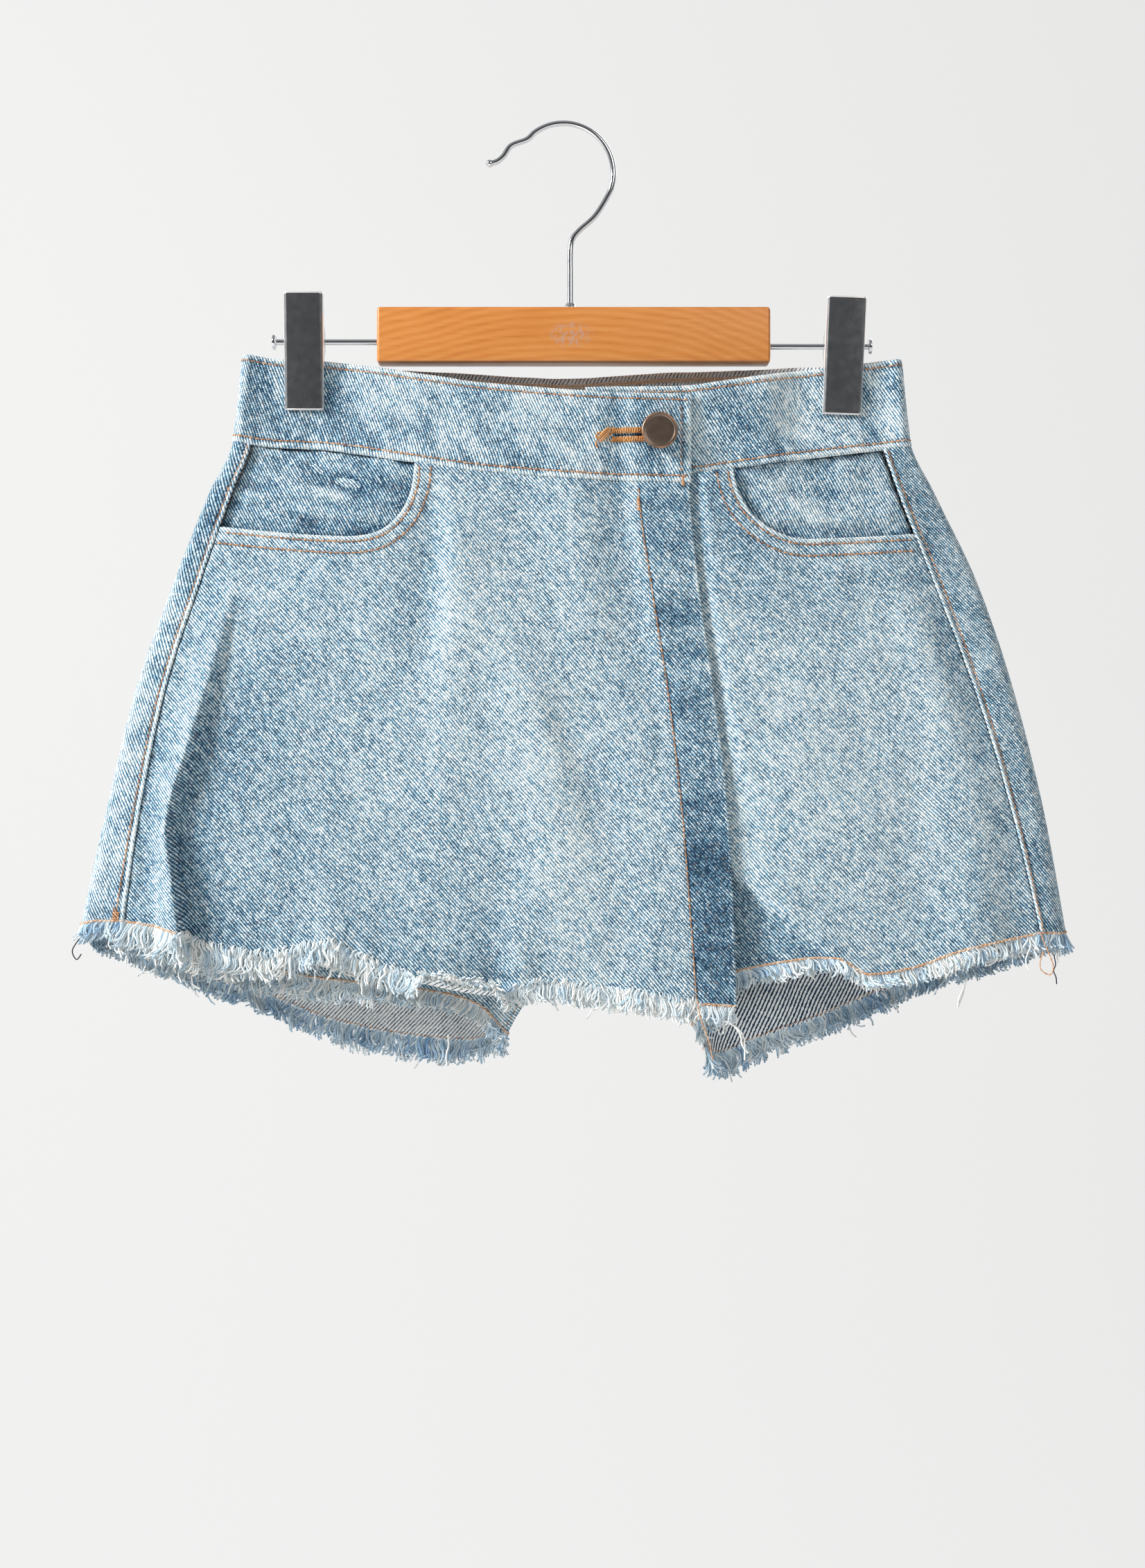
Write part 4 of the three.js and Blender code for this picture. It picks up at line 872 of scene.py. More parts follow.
class Sewing:
    """Collects stitches for one mesh."""

    def __init__(self, seed):
        self.rng = np.random.default_rng(seed)
        self.paths, self.radii, self.level = [], [], []

    def line(self, points, normals, length=2.5, gap=0.55, radius=0.36, lift=0.12, slant=0.12, level=(0.3, 0.95)):
        total, read = along_line(points, normals)
        count = max(int(total[-1] / (length + gap)), 1)
        start = (np.arange(count) + 0.5) * total[-1] / count
        reach = total[-1] / count - gap
        t = np.linspace(-0.5, 0.5, 6)
        (middle, normal) = read(start[:, None] + t * reach)
        along = np.gradient(middle, axis=1)
        along /= np.linalg.norm(along, axis=-1, keepdims=True) + 1e-12
        aside = np.cross(normal, along)
        bow = np.cos(t * math.pi)[None, :, None]
        sway = (t * slant * 2)[None, :, None] * reach * 0.5
        self.paths.append(middle + normal * (lift + 0.3 * radius * bow - 0.25) + aside * sway)
        fat = radius * np.sqrt(np.clip(1 - (2 * t) ** 2 * 0.86, 0.05, 1))
        self.radii.append(fat * self.rng.uniform(0.85, 1.12, (count, 1)))
        self.level.append(self.rng.uniform(*level, count))

    def cross(self, points, normals, width=2.4, pitch=0.62, radius=0.3, lift=0.25, level=(0.35, 0.95), zigzag=0.0):
        """Close stitches that lie across a line, as on a buttonhole or a bar tack."""
        total, read = along_line(points, normals)
        count = max(int(total[-1] / pitch), 2)
        start = (np.arange(count) + 0.5) * total[-1] / count
        (middle, normal) = read(start)
        (ahead,) = read(start + 0.05)[:1]
        along = ahead - middle
        along /= np.linalg.norm(along, axis=-1, keepdims=True) + 1e-12
        aside = np.cross(normal, along)
        t = np.linspace(-0.5, 0.5, 6)[None, :, None]
        lean = self.rng.normal(0, 0.16, (count, 1, 1)) + 0.22 + zigzag * (-1.0) ** np.arange(count)[:, None, None]
        path = middle[:, None] + (aside[:, None] + along[:, None] * lean) * t * width
        self.paths.append(path + normal[:, None] * (lift + 0.45 * np.cos(t * math.pi) - 0.3))
        self.radii.append(np.full((count, 6), radius) * self.rng.uniform(0.85, 1.15, (count, 1)))
        self.level.append(self.rng.uniform(*level, count))

    def make(self, name, material=THREAD):
        made = strands(name, np.vstack(self.paths), np.vstack(self.radii), np.concatenate(self.level), material, 4)
        return made


def lay(surface, line, lift=0.0):
    """Points and outward directions on a front surface, at places given as x and z."""
    x, z = np.array(line, float)[:, 0], np.array(line, float)[:, 1]
    step = 0.5
    y = surface(x, z)
    slope_x = (surface(x + step, z) - surface(x - step, z)) / (2 * step)
    slope_z = (surface(x, z + step) - surface(x, z - step)) / (2 * step)
    normal = np.stack((slope_x, -np.ones_like(y), slope_z), -1)
    normal /= np.linalg.norm(normal, axis=-1, keepdims=True)
    return np.stack((x, y, z), -1) + normal * lift, normal


def moved(line, distance):
    """A line in x and z, moved sideways."""
    run = np.gradient(line, axis=0)
    run /= np.linalg.norm(run, axis=1, keepdims=True)
    return line + np.stack((run[:, 1], -run[:, 0]), -1) * distance


FRINGE_LENGTH = table("x length", (-245, 14), (-200, 17), (-120, 13.5), (-40, 9.5), (60, 11.5), (130, 10), (245, 12))
FRINGE_BACK_LENGTH = table("x length", (-245, 10), (-157, 11.5), (-108, 12.5), (-60, 13.5), (-28, 13), (60, 15), (94, 13), (150, 11.5),
                           (246, 11))
fringe_length = track(FRINGE_LENGTH, "x", "length")
fringe_back_length = track(FRINGE_BACK_LENGTH, "x", "length")


# Layers of a fringe: spacing, share of the full length, how much darker, and 1 for yarns that bulge over the edge
FRINGE_LAYERS = ((0.68, 1.0, 0.0, 0), (0.66, 0.90, 0.06, 0), (0.78, 0.74, 0.14, 0), (0.62, 0.62, 0.02, 1))
# Long threads that hang loose, as x, y, z points
FLUFFY_WRAP = (-186, 66)
WHITE_WRAP = [[(77, -18.5, -437), (83, -20, -440.4), (86.5, -20, -445.3), (86.8, -19.5, -456)],
              [(80, -18.5, -438), (84.5, -20.5, -443), (85.6, -20, -449), (88.4, -19.5, -452.5)],
              [(66, -18, -431), (72, -19.5, -436.5), (79, -19.5, -437.5), (84.5, -19, -441.5)]]
WHITE_RIGHT = [[(195, -13, -417), (193.7, -14, -421), (192.6, -14, -426), (190.4, -14, -431)],
               [(194, -13, -418), (193, -14.4, -422), (191, -14.5, -426.5), (190.6, -14.2, -430)]]
WHITE_BACK = [[(-57.5, 4, -446), (-57.3, 3.5, -452), (-58.4, 3.2, -456), (-58, 3, -461)]]
ORANGE_RIGHT = [(231, -10, -394.5), (233.8, -12, -402), (236.9, -12.6, -410.4), (236.4, -12.8, -414.5), (234.3, -12.8, -415.1),
                (231.2, -12.6, -413), (230.7, -12.4, -409.3), (232.4, -12, -404)]
ORANGE_WRAP = [(63.9, -20.4, -427), (65.5, -21.2, -436), (69.5, -20.8, -447), (71.4, -20, -456)]
DARK_RIGHT = [(237.8, -10, -405.7), (238.5, -11, -410.4), (237.5, -11, -413.5), (238.7, -11, -416.7), (239.1, -10.6, -420)]
DARK_LEFT = [(-236.5, -8, -398), (-239.6, -10, -403.7), (-237.5, -10.4, -408.1), (-235.2, -10, -405.4)]


def thread_path(points, count):
    line = spline(points, 8)
    total, read = along_line(line)
    return read(np.linspace(0, total[-1], count))[0]


def loose_orange(sewing, points):
    line = spline(points, 8)
    sewing.line(line, np.tile([0.0, -1.0, 0.0], (len(line), 1)), length=3, gap=-0.5, radius=0.34, lift=0.25, slant=0, level=(0.6, 0.8))


def loose_dark(name, points):
    made = strands(name, thread_path(points, 24)[None], np.full((1, 24), 0.3), np.array([0.3]), NAVY_THREAD, 6)
    return made


def make_fringe(place, points, normals, downs, seed, sheet_parts, drape=0.5, loose=(), tone=0.82, reach=fringe_length, fluffy=None):
    """Frayed yarns along a raw edge. `points`, `normals` and `downs` run along the middle of the cloth's edge."""
    rng = np.random.default_rng(seed)
    total, read = along_line(points, normals, downs)
    steps = 8
    t = np.arange(steps)[None] / (steps - 1)
    paths, radii, level = [], [], []
    for pitch, share, shade, raised in FRINGE_LAYERS:
        if raised and fluffy is None:
            continue
        count = int(total[-1] / pitch)
        s = (np.arange(count) + rng.uniform(0.15, 0.85, count)) * total[-1] / count
        if raised:
            s = s[(read(s)[0][:, 0] > fluffy[0]) & (read(s)[0][:, 0] < fluffy[1])]
            count = len(s)
        root, normal, down = read(s)
        along = np.cross(normal, down)
        lock = np.cumsum(rng.random(count) < pitch / 4.6)

        def lock_value(low, high):
            return rng.uniform(low, high, lock[-1] + 1)[lock]

        lean = 0.16 * bars(s, 31, seed + 9) + lock_value(-0.3, 0.3) + rng.normal(0, 0.06, count)
        sway = lock_value(0.15, 0.75)
        phase = lock_value(0, 6.3) + rng.normal(0, 0.35, count)
        curl = lock_value(-1.9, 1.9) + rng.normal(0, 0.4, count)
        out = lock_value(-0.2, 0.22) + rng.normal(0, 0.1, count)
        roll = lock_value(-0.7, 0.7) + rng.normal(0, 0.3, count)
        length = reach(root[:, 0]) * share * lock_value(0.94, 1.1) * rng.uniform(0.86, 1.08, count)
        long = rng.random(count) > 0.985
        length *= 1 + 0.45 * long
        heading = lean[:, None] + sway[:, None] * np.sin(phase[:, None] + 5.2 * t) + curl[:, None] * t ** 4
        swing = out[:, None] + roll[:, None] * t ** 1.6
        if raised:
            swing = (0.6 + 0.4 * (root[:, :1] < -22)) * (1 - 1.9 * ease(t * 2.4)) + 0.4 * roll[:, None] * t
        fall = down[:, None] * (1 - drape * t[..., None]) + np.array([0, 0, -1.0]) * drape * t[..., None]
        step = (fall * (np.cos(heading) * np.cos(swing))[..., None] + along[:, None] * np.sin(heading)[..., None]
                + normal[:, None] * np.sin(swing)[..., None])
        walk = np.cumsum(step * (length[:, None, None] / (steps - 1)), axis=1)
        depth = rng.uniform(-0.6, 0.6, count)[:, None, None] + 0.2 * raised
        start = root[:, None] - down[:, None] * (1.6 + raised * rng.uniform(0, 2.4, count)[:, None, None]) + normal[:, None] * depth
        paths.append(np.concatenate((start, start + walk[:, :-1] + down[:, None] * 0.6 * (1 - raised)), axis=1))
        radii.append(rng.uniform(0.36, 0.52, count)[:, None] * np.linspace(1, 0.94, steps)[None])
        pale = tone + lock_value(-0.2, 0.12) + rng.normal(0, 0.12, count) - shade
        level.append(np.clip(pale + 0.28 * (long | (rng.random(count) > 0.9)), 0.05, 1))
    for thread in loose:
        paths.append(thread_path(thread, steps)[None])
        radii.append(np.full((1, steps), 0.42))
        level.append(np.array([0.98]))
    made = strands(f"frayed_{place}", np.vstack(paths), np.vstack(radii), np.concatenate(level), FRINGE)
    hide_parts(f"fringe_{place}")
    sheet_parts.append(made)
    return made


def hem_of(points, normals, thickness):
    """The middle of a panel's bottom edge, with its outward direction and the way the cloth runs down."""
    down = points[-1] - points[-6]
    down /= np.linalg.norm(down, axis=-1, keepdims=True)
    return points[-1] - normals[-1] * thickness / 2, normals[-1], down


EDGE_GAPS = ((0, 0.3), (1.2, 0.4), (3, 0.7), (10, 1.8))


HOLE_Z = -153.4
SEAM_STITCH = 2.7
BAND_TOP_STITCH, BAND_LOW_STITCH = 3.0, 39.8


# Waistband, from the buttoned end round the left side, the back and the right side to the end under the button
def make_waistband():
    front = spaced((0, 0.3), (1.5, 0.6), (6, 1.0), (38, 0.9), (48, 1.7), (214, 1.7))
    inside_left = lambda z: left_edge(z) + fold_radius(z)
    inside_right = lambda z: right_edge(z) - fold_radius(z)
    fixed = lambda x: lambda z: np.full_like(z, x)
    turns = np.linspace(0, 1, 11)
    columns = joined(
        panel(band_y, fixed(BUTTON_END), inside_left, shares(front)),
        side_fold(LEFT, turns[1:-1], BAND_PROUD),
        panel(band_back_y, inside_left, inside_right, np.linspace(0, 1, 170)),
        side_fold(RIGHT, 1 - turns[1:-1], BAND_PROUD),
        panel(underlap_y, inside_right, fixed(UNDERLAP_END), shares(spaced((0, 1.8), (146, 1.4), (149, 0.4)))),
    )
    first = len(front) + 9
    count = columns[0]
    which = np.arange(count)

    def top_edge(x):
        return np.where(which < first, band_top[LEFT](x), np.where(which < first + 170, band_top["back"](x), band_top[RIGHT](x)))

    rows = spaced((0, 0.3), (1.4, 0.5), (4, 1.0), (15, 1.4), (19, 0.5), (24, 0.5), (27, 1.4), (37, 1.0), (41, 0.5), (43, 0.3))
    top = meet(columns, top_edge)
    z = top - rows[:, None]
    points = columns[1](z)
    normals = normals_of(points, TOWARDS_FRONT)
    rim = np.minimum.reduce((from_rim(points), np.broadcast_to(rows[:, None], z.shape)))
    around = run_lengths(points, 1)[len(rows) // 2][None]
    length = around[0, -1]
    down = np.broadcast_to(rows[:, None], z.shape)
    s = np.broadcast_to(around, z.shape)
    on_front = which < len(front)
    on_front_side = on_front | (which > count - len(front) * 0.8)
    x = points[..., 0]
    # Ridges beside the seams, shallow channels under the stitches, and the buttonhole's slit
    pucker = bars(s, 7.4, 3) * np.exp(-((down - 38.5) / 4) ** 2) * 0.30 + bars(s, 6.2, 4) * np.exp(-((down - 3) / 3) ** 2) * 0.2
    channel = 0.34 * (np.exp(-((down - BAND_TOP_STITCH) / 0.9) ** 2) + np.exp(-((down - BAND_LOW_STITCH) / 0.9) ** 2))
    end_channel = 0.4 * np.exp(-((s - 4.2) / 0.9) ** 2)
    slit = np.where(on_front & (x > 24) & (x < 45), np.exp(-((z - HOLE_Z) / 0.8) ** 2), 0)
    relief = pucker - channel - end_channel - 1.5 * slit
    points = points + normals * relief[..., None]
    stitch = np.minimum(np.abs(down - BAND_TOP_STITCH), np.abs(down - BAND_LOW_STITCH))
    stitch = np.minimum(stitch, np.where(down < 41, np.abs(s - 4.2), 9))
    by_button = np.exp(-(np.hypot(x - 47, (z + 150) * 0.8) / 15) ** 2) * on_front
    by_clip = np.exp(-((x + 151) / 12) ** 2) * on_front
    wash_and_painted_light = (0.5 * waves(s + 0.6 * down, down * 0.6, 13, 31) + 0.28 * waves(s, down * 0.6, 34, 32)
            + 0.4 * pucker / 0.3 - 0.7 * by_button - 0.5 * by_clip - 0.05)
    across = x + 0.6 * (z + 140)
    for place, width, amount in ((-144, 9, -1.0), (-108, 11, -0.8), (-38, 7, -0.6), (26, 6, -0.5), (82, 14, -0.6), (108, 9, 0.5), (146, 8, -0.5)):
        wash_and_painted_light = wash_and_painted_light + amount * np.exp(-((across - place) / width) ** 2) * on_front_side
    wash_and_painted_light = wash_and_painted_light + 0.25 * crease_height(CREASES_FRONT[:4], x, z) * on_front
    # Painted shade: the buttonhole's slit is painted dark where its gap lies in shade; the dark line near the lower
    # stitches is the cloth's own colour
    ink_and_painted_shade = 0.45 * slit + 0.10 * np.exp(-((down - 36) / 2.5) ** 2) * (0.5 - 0.5 * bars(s, 12, 9))
    looks = {"cloth": grain(-s, -down, 62, 1), "wash_and_painted_light": wash_and_painted_light, "edge": rim, "stitch": stitch, "ink_and_painted_shade": ink_and_painted_shade}
    band = shell("denim_waistband", points, normals, BAND_THICK, looks, [FACE, REVERSE_BAND_PAINTED_LIGHT], rim)
    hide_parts("waistband")

    def row_at(distance, start, end, lift=0.0):
        i = np.searchsorted(rows, distance) - 1
        t = (distance - rows[i]) / (rows[i + 1] - rows[i])
        keep = slice(start, end)
        line = mix(points[i, keep], points[i + 1, keep], t)
        normal = mix(normals[i, keep], normals[i + 1, keep], t)
        return line + normal * lift, normal

    sewing = Sewing(7)
    sewing.line(*row_at(BAND_TOP_STITCH, 4, None), gap=0.4, radius=0.42, lift=0.25, level=(0.2, 0.8))
    sewing.line(*row_at(BAND_LOW_STITCH, 4, None), gap=0.4, radius=0.48, lift=0.25, level=(0.25, 0.85))
    column = int(np.searchsorted(around[0], 4.2))
    sewing.line(points[9:-9, column], normals[9:-9, column], radius=0.34, level=(0.15, 0.6))
    # The chain stitch inside the back of the band
    back = slice(first + 4, first + 166)
    for depth in (3.0, 4.2):
        i = int(np.searchsorted(rows, depth))
        inside = points[i, back] - normals[i, back] * BAND_THICK
        sewing.line(inside, -normals[i, back], length=2.0, gap=-0.3, radius=0.6, lift=0.5, slant=0.36, level=(0.9, 1))
    topstitch = sewing.make("waistband_topstitch")
    # Two thick rows along the slit, and the knot where they meet
    holes = Sewing(8)
    for row in (HOLE_Z + 2.1, HOLE_Z - 2.1):
        line = np.stack((np.linspace(22.5, 39, 26), np.full(26, row)), -1)
        holes.cross(*lay(band_y, line), width=2.7, pitch=0.62, radius=0.27, lift=0.4, zigzag=0.55)
        holes.cross(*lay(band_y, line), width=2.2, pitch=1.1, radius=0.27, lift=0.75, zigzag=0.2)
    for dx, dz in ((0, 0), (0.5, -0.8), (-0.4, 0.7), (0.9, -1.5)):
        bend = [(15.4 + dx, HOLE_Z - 2.4 + dz), (17.4 + dx, HOLE_Z - 0.9 + dz), (19.6 + dx, HOLE_Z + 1.2 + dz),
                (21.6 + dx, HOLE_Z + 3.0 + dz * 0.4)]
        holes.line(*lay(band_y, spline(bend)), length=7.5, gap=0.1, radius=0.42, lift=0.95 + 0.25 * dx)
    for ring in ([(15.2, HOLE_Z - 3), (14.6, HOLE_Z - 0.6), (16.6, HOLE_Z + 1.2), (19, HOLE_Z + 0.2), (18.4, HOLE_Z - 2.4)],
                 [(19.6, HOLE_Z + 3.4), (22.4, HOLE_Z + 3.8), (23.4, HOLE_Z + 1.4), (21, HOLE_Z - 0.6), (19.4, HOLE_Z - 3.2)],
                 [(15.6, HOLE_Z - 2.8), (15, HOLE_Z - 5), (15.8, HOLE_Z - 6.8)]):
        holes.line(*lay(band_y, spline(ring)), length=14, gap=0.1, radius=0.34, lift=0.5)
    tacks = holes.make("buttonhole_stitch", BROWN_THREAD)
    print("band length", round(float(length), 1))


mouth = {LEFT: spline(POCKET_LEFT), RIGHT: spline(POCKET_RIGHT)}


def open_top(leg):
    """Top edge of a front panel: the waistband seam, then the pocket mouth round to the side seam."""
    curve = mouth[leg]
    order = np.argsort(curve[:, 0])
    at, height = curve[order, 0], curve[order, 1]

    def edge(x):
        seam = band_top[leg](x) - BAND_HEIGHT - 0.1
        cut = np.interp(x, at, height)
        outside = (x - curve[0, 0]) * leg > 0
        return np.where(outside, np.minimum(cut, seam), seam)

    return edge


def front_wash(x, z, leg, to_mouth, to_side, seed):
    """Wash of a front panel: clouds, pale ridges, and uneven blue beside the seams."""
    to_band = np.maximum(band_top[leg](x) - BAND_HEIGHT - z, 0)
    wash_and_painted_light = 0.10 * waves(x, z, 46, seed) + 0.07 * waves(x, z, 19, seed + 1, 1.5)
    wash_and_painted_light = wash_and_painted_light - 0.55 * np.exp(-to_band / 9) * (0.55 + 0.45 * bars(x, 21, seed + 2))
    wash_and_painted_light = wash_and_painted_light + 0.35 * np.exp(-((to_mouth - 5) / 5) ** 2) * (0.4 + 0.6 * bars(x + z, 16, seed + 3))
    wash_and_painted_light = wash_and_painted_light - 0.55 * np.exp(-((to_side - 7) / 6) ** 2) * (0.45 + 0.55 * bars(z, 27, seed + 4))
    wash_and_painted_light = wash_and_painted_light + 0.22 * crease_height(CREASES_FRONT, x, z)
    return wash_and_painted_light


def mouth_relief(to_mouth, along):
    """The pocket's turned hem is thicker, pulled in at its two rows of stitches."""
    raised = 0.42 * (1 - ease((to_mouth - 8.4) / 1.2))
    channels = sum(0.34 * np.exp(-((to_mouth - row) / 0.8) ** 2) for row in POCKET_HEM)
    ripple = 0.16 * bars(along, 4.6, 12) * np.exp(-((to_mouth - 5.4) / 2.2) ** 2)
    return raised - channels + ripple


def curl_share(x):
    return ease((x - CURL["start"]) / (CURL["full"] - CURL["start"])) * (1 - ease((x - CURL["fade"]) / (CURL["end"] - CURL["fade"])))


def curl_edge(points):
    """Turns the cloth below the hem's fold line outwards and up."""
    x, z = points[..., 0], points[..., 2]
    share = curl_share(x)
    start = hem_wrap(x) + CURL["radius"]
    run = np.maximum(start - z, 0)
    limit = CURL["turn"] * share
    angle = np.minimum(run / CURL["radius"], limit)
    rest = np.maximum(run - limit * CURL["radius"], 0)
    bent = CURL["radius"] * (1 - np.cos(angle)) + rest * np.sin(limit)
    drop = CURL["radius"] * np.sin(angle) + rest * np.cos(limit)
    turned = points.copy()
    turned[..., 1] -= np.where(run > 0, bent, 0) * (share > 0)
    turned[..., 2] = np.where((run > 0) & (share > 0), start - drop, z)
    return turned


def make_wrap():
    start = lambda z: left_seam(np.minimum(z, -197.0))
    inner = spaced((-170, 0.35), (-168.5, 0.5), (-165, 1.1), (-160, 0.9), (-138, 0.9), (-132, 2), (-86, 2), (-82, 0.9),
                   (-72, 0.6), (-66, 1.6), (-58, 2), (30, 2), (36, 1.1), (58, 1.1), (60.4, 0.5), (61.8, 0.3))
    columns = panel(front_y, start, wrap_edge, shares(inner))
    top = meet(columns, open_top(LEFT))
    bottom = meet(columns, lambda x: hem_wrap(x) - CURL["extra"] * curl_share(x))
    head = spaced((0, 0.3), (1.2, 0.5), (4, 0.8), (10, 1.0), (14, 1.8))
    z = heights(top, bottom, head, 2.0)
    points = columns[1](z)
    x = points[..., 0]
    to_mouth = distance_to(mouth[LEFT], x, z)
    to_side = x - left_seam(z)
    to_free = wrap_edge(z) - x
    to_facing = x - facing_line(z)
    normals = normals_of(points, TOWARDS_FRONT)
    strip = ease((to_facing + 0.6) / 1.4)
    relief = mouth_relief(to_mouth, x + z) - 0.6 * np.exp(-(to_side / 1.1) ** 2)
    relief += 0.3 * strip - 0.42 * np.exp(-(to_facing / 0.9) ** 2)
    relief += 0.32 * bars(z, 15.5, 2) * np.exp(-((to_facing - 9) / 9) ** 2)
    relief += 0.16 * bars(x, 9, 6) * np.exp(-np.maximum(band_top[LEFT](x) - BAND_HEIGHT - z, 0) / 5)
    relief += 0.30 * bars(z, 13, 3) * np.exp(-((to_side - 3) / 4) ** 2)
    hem_distance = np.maximum(z - hem_wrap(x), 0)
    relief += 0.5 * bars(x, 19, 14) * np.exp(-hem_distance / 12)
    points = points + normals * relief[..., None]
    rim = np.minimum(from_rim(points), np.where((x < -70) & (z > -206), to_mouth, 99))
    wash_and_painted_light = front_wash(x, z, LEFT, to_mouth, to_side, 41)
    wash_and_painted_light += 0.26 * np.exp(-(((x + 15) / 80) ** 2 + ((z + 300) / 85) ** 2)) - 0.14
    wash_and_painted_light -= 0.22 * np.exp(-hem_distance / 16) + 0.12 * ease((-330 - z) / 70) * ease((20 - x) / 60)
    wash_and_painted_light += 0.1 * np.exp(-(((x - 12) / 26) ** 2 + ((z + 385) / 40) ** 2))
    # Painted shadow: the cloth is painted darker in a band right of the big fold's ridge and in a patch on the left of
    # the wrap, standing in for shade from the light on the left
    behind = x - folds["front"][0]["x"](z)
    fold_painted_shadow = ease((behind + 0.5) / 2) * np.exp(-(np.maximum(behind, 0) / 24) ** 2) * ease((-258 - z) / 45)
    wash_and_painted_light -= 0.95 * fold_painted_shadow + 0.3 * np.exp(-(((x + 148) / 24) ** 2 + ((z + 305) / 50) ** 2))
    shade = -0.9 - 0.85 * ease((-318 - z) / 30)
    wash_and_painted_light = mix(wash_and_painted_light, shade + 0.6 * bars(z, 25, 17) + 0.35 * bars(z + 0.4 * x, 11, 18), strip)
    edge = np.minimum(np.minimum(to_mouth, to_free * 1.6), 30)
    stitch = np.minimum.reduce([np.abs(to_mouth - row) for row in POCKET_HEM] + [np.abs(to_facing), hem_distance + 0.4])
    ink_and_painted_shade = 0.34 * np.exp(-(to_side / 0.7) ** 2) * ease((-200 - z) / 90)
    looks = {"cloth": grain(x, z, 48, 2), "wash_and_painted_light": wash_and_painted_light, "edge": edge, "stitch": stitch, "ink_and_painted_shade": ink_and_painted_shade}
    points, normals = curl_edge(points), normals_of(curl_edge(points), TOWARDS_FRONT)
    wrap = shell("denim_wrap_front", points, normals, DENIM, looks, [FACE, REVERSE_PAINTED_LIGHT], rim)
    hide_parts("wrap_front")
    parts = []
    make_fringe("wrap", *hem_of(points, normals, DENIM), 101, parts, drape=0.35, loose=WHITE_WRAP, fluffy=FLUFFY_WRAP, tone=0.9)

    on_wrap = lambda x, z: front_y(x, z) - 0.12
    sewing = Sewing(9)
    for row in POCKET_HEM:
        line = moved(mouth[LEFT], -row)
        line = line[(line[:, 1] < band_top[LEFT](line[:, 0]) - BAND_HEIGHT - 0.3) & (line[:, 0] > left_seam(line[:, 1]) + 1)]
        sewing.line(*lay(on_wrap, line), gap=0.4, radius=0.46, lift=0.25, level=(0.2, 0.8))
    height = np.linspace(-179, -427, 90)
    sewing.line(*lay(on_wrap, np.stack((facing_line(height), height), -1)), length=2.7, gap=0.4, radius=0.38, lift=0.25, level=(0.2, 0.8))
    sewing.cross(*lay(on_wrap, [(35.6, -184), (35.8, -190)]), width=1.1, pitch=0.5, radius=0.34, lift=0.35)
    sewing.cross(*lay(on_wrap, [(57.1, -173.4), (57.3, -178.2)]), width=1.1, pitch=0.5, radius=0.34, lift=0.35)
    loose_orange(sewing, ORANGE_WRAP)
    edge_points, edge_normals = along_hem(points, normals, 0.9)
    for shown in (edge_points[:, 0] < FLUFFY_WRAP[0], edge_points[:, 0] > FLUFFY_WRAP[1]):
        sewing.line(edge_points[shown], edge_normals[shown], length=2.5, gap=-0.35, radius=0.5, slant=0.32, lift=0.3, level=(0.62, 1))
    stitches = sewing.make("wrap_stitching")
    return wrap


def along_hem(points, normals, up):
    """A line on the cloth just above its raw edge."""
    row = int(np.argmin(np.abs(np.linalg.norm(points[-12:] - points[-1:], axis=-1).mean(1) - up)))
    return points[-12:][row], normals[-12:][row]


def make_wrap_facing():
    surface = lambda x, z: front_y(x, z) + UNDER_FACING
    columns = panel(surface, facing_line, lambda z: wrap_edge(z) - 0.5, shares(spaced((0, 0.4), (3, 1.8), (17, 1.8), (20, 0.3))))
    top = meet(columns, lambda x: band_top[LEFT](x) - BAND_HEIGHT - 0.5)
    bottom = meet(columns, lambda x: hem_wrap(x) + 1)
    z = heights(top, bottom, np.array([0, 0.4, 1.0, 2.0]), 2.4)
    points = columns[1](z)
    normals = normals_of(points, TOWARDS_FRONT)
    x = points[..., 0]
    far = np.full_like(x, 20.0)
    looks = {"cloth": grain(x, z, 50, 3), "wash_and_painted_light": -0.4 + 0.3 * bars(z, 25, 17), "edge": far, "stitch": far, "ink_and_painted_shade": far * 0}
    facing = shell("wrap_facing", points, normals, FACING, looks, [REVERSE_PAINTED_LIGHT, DARK_FACE])
    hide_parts("wrap_edge_facing")


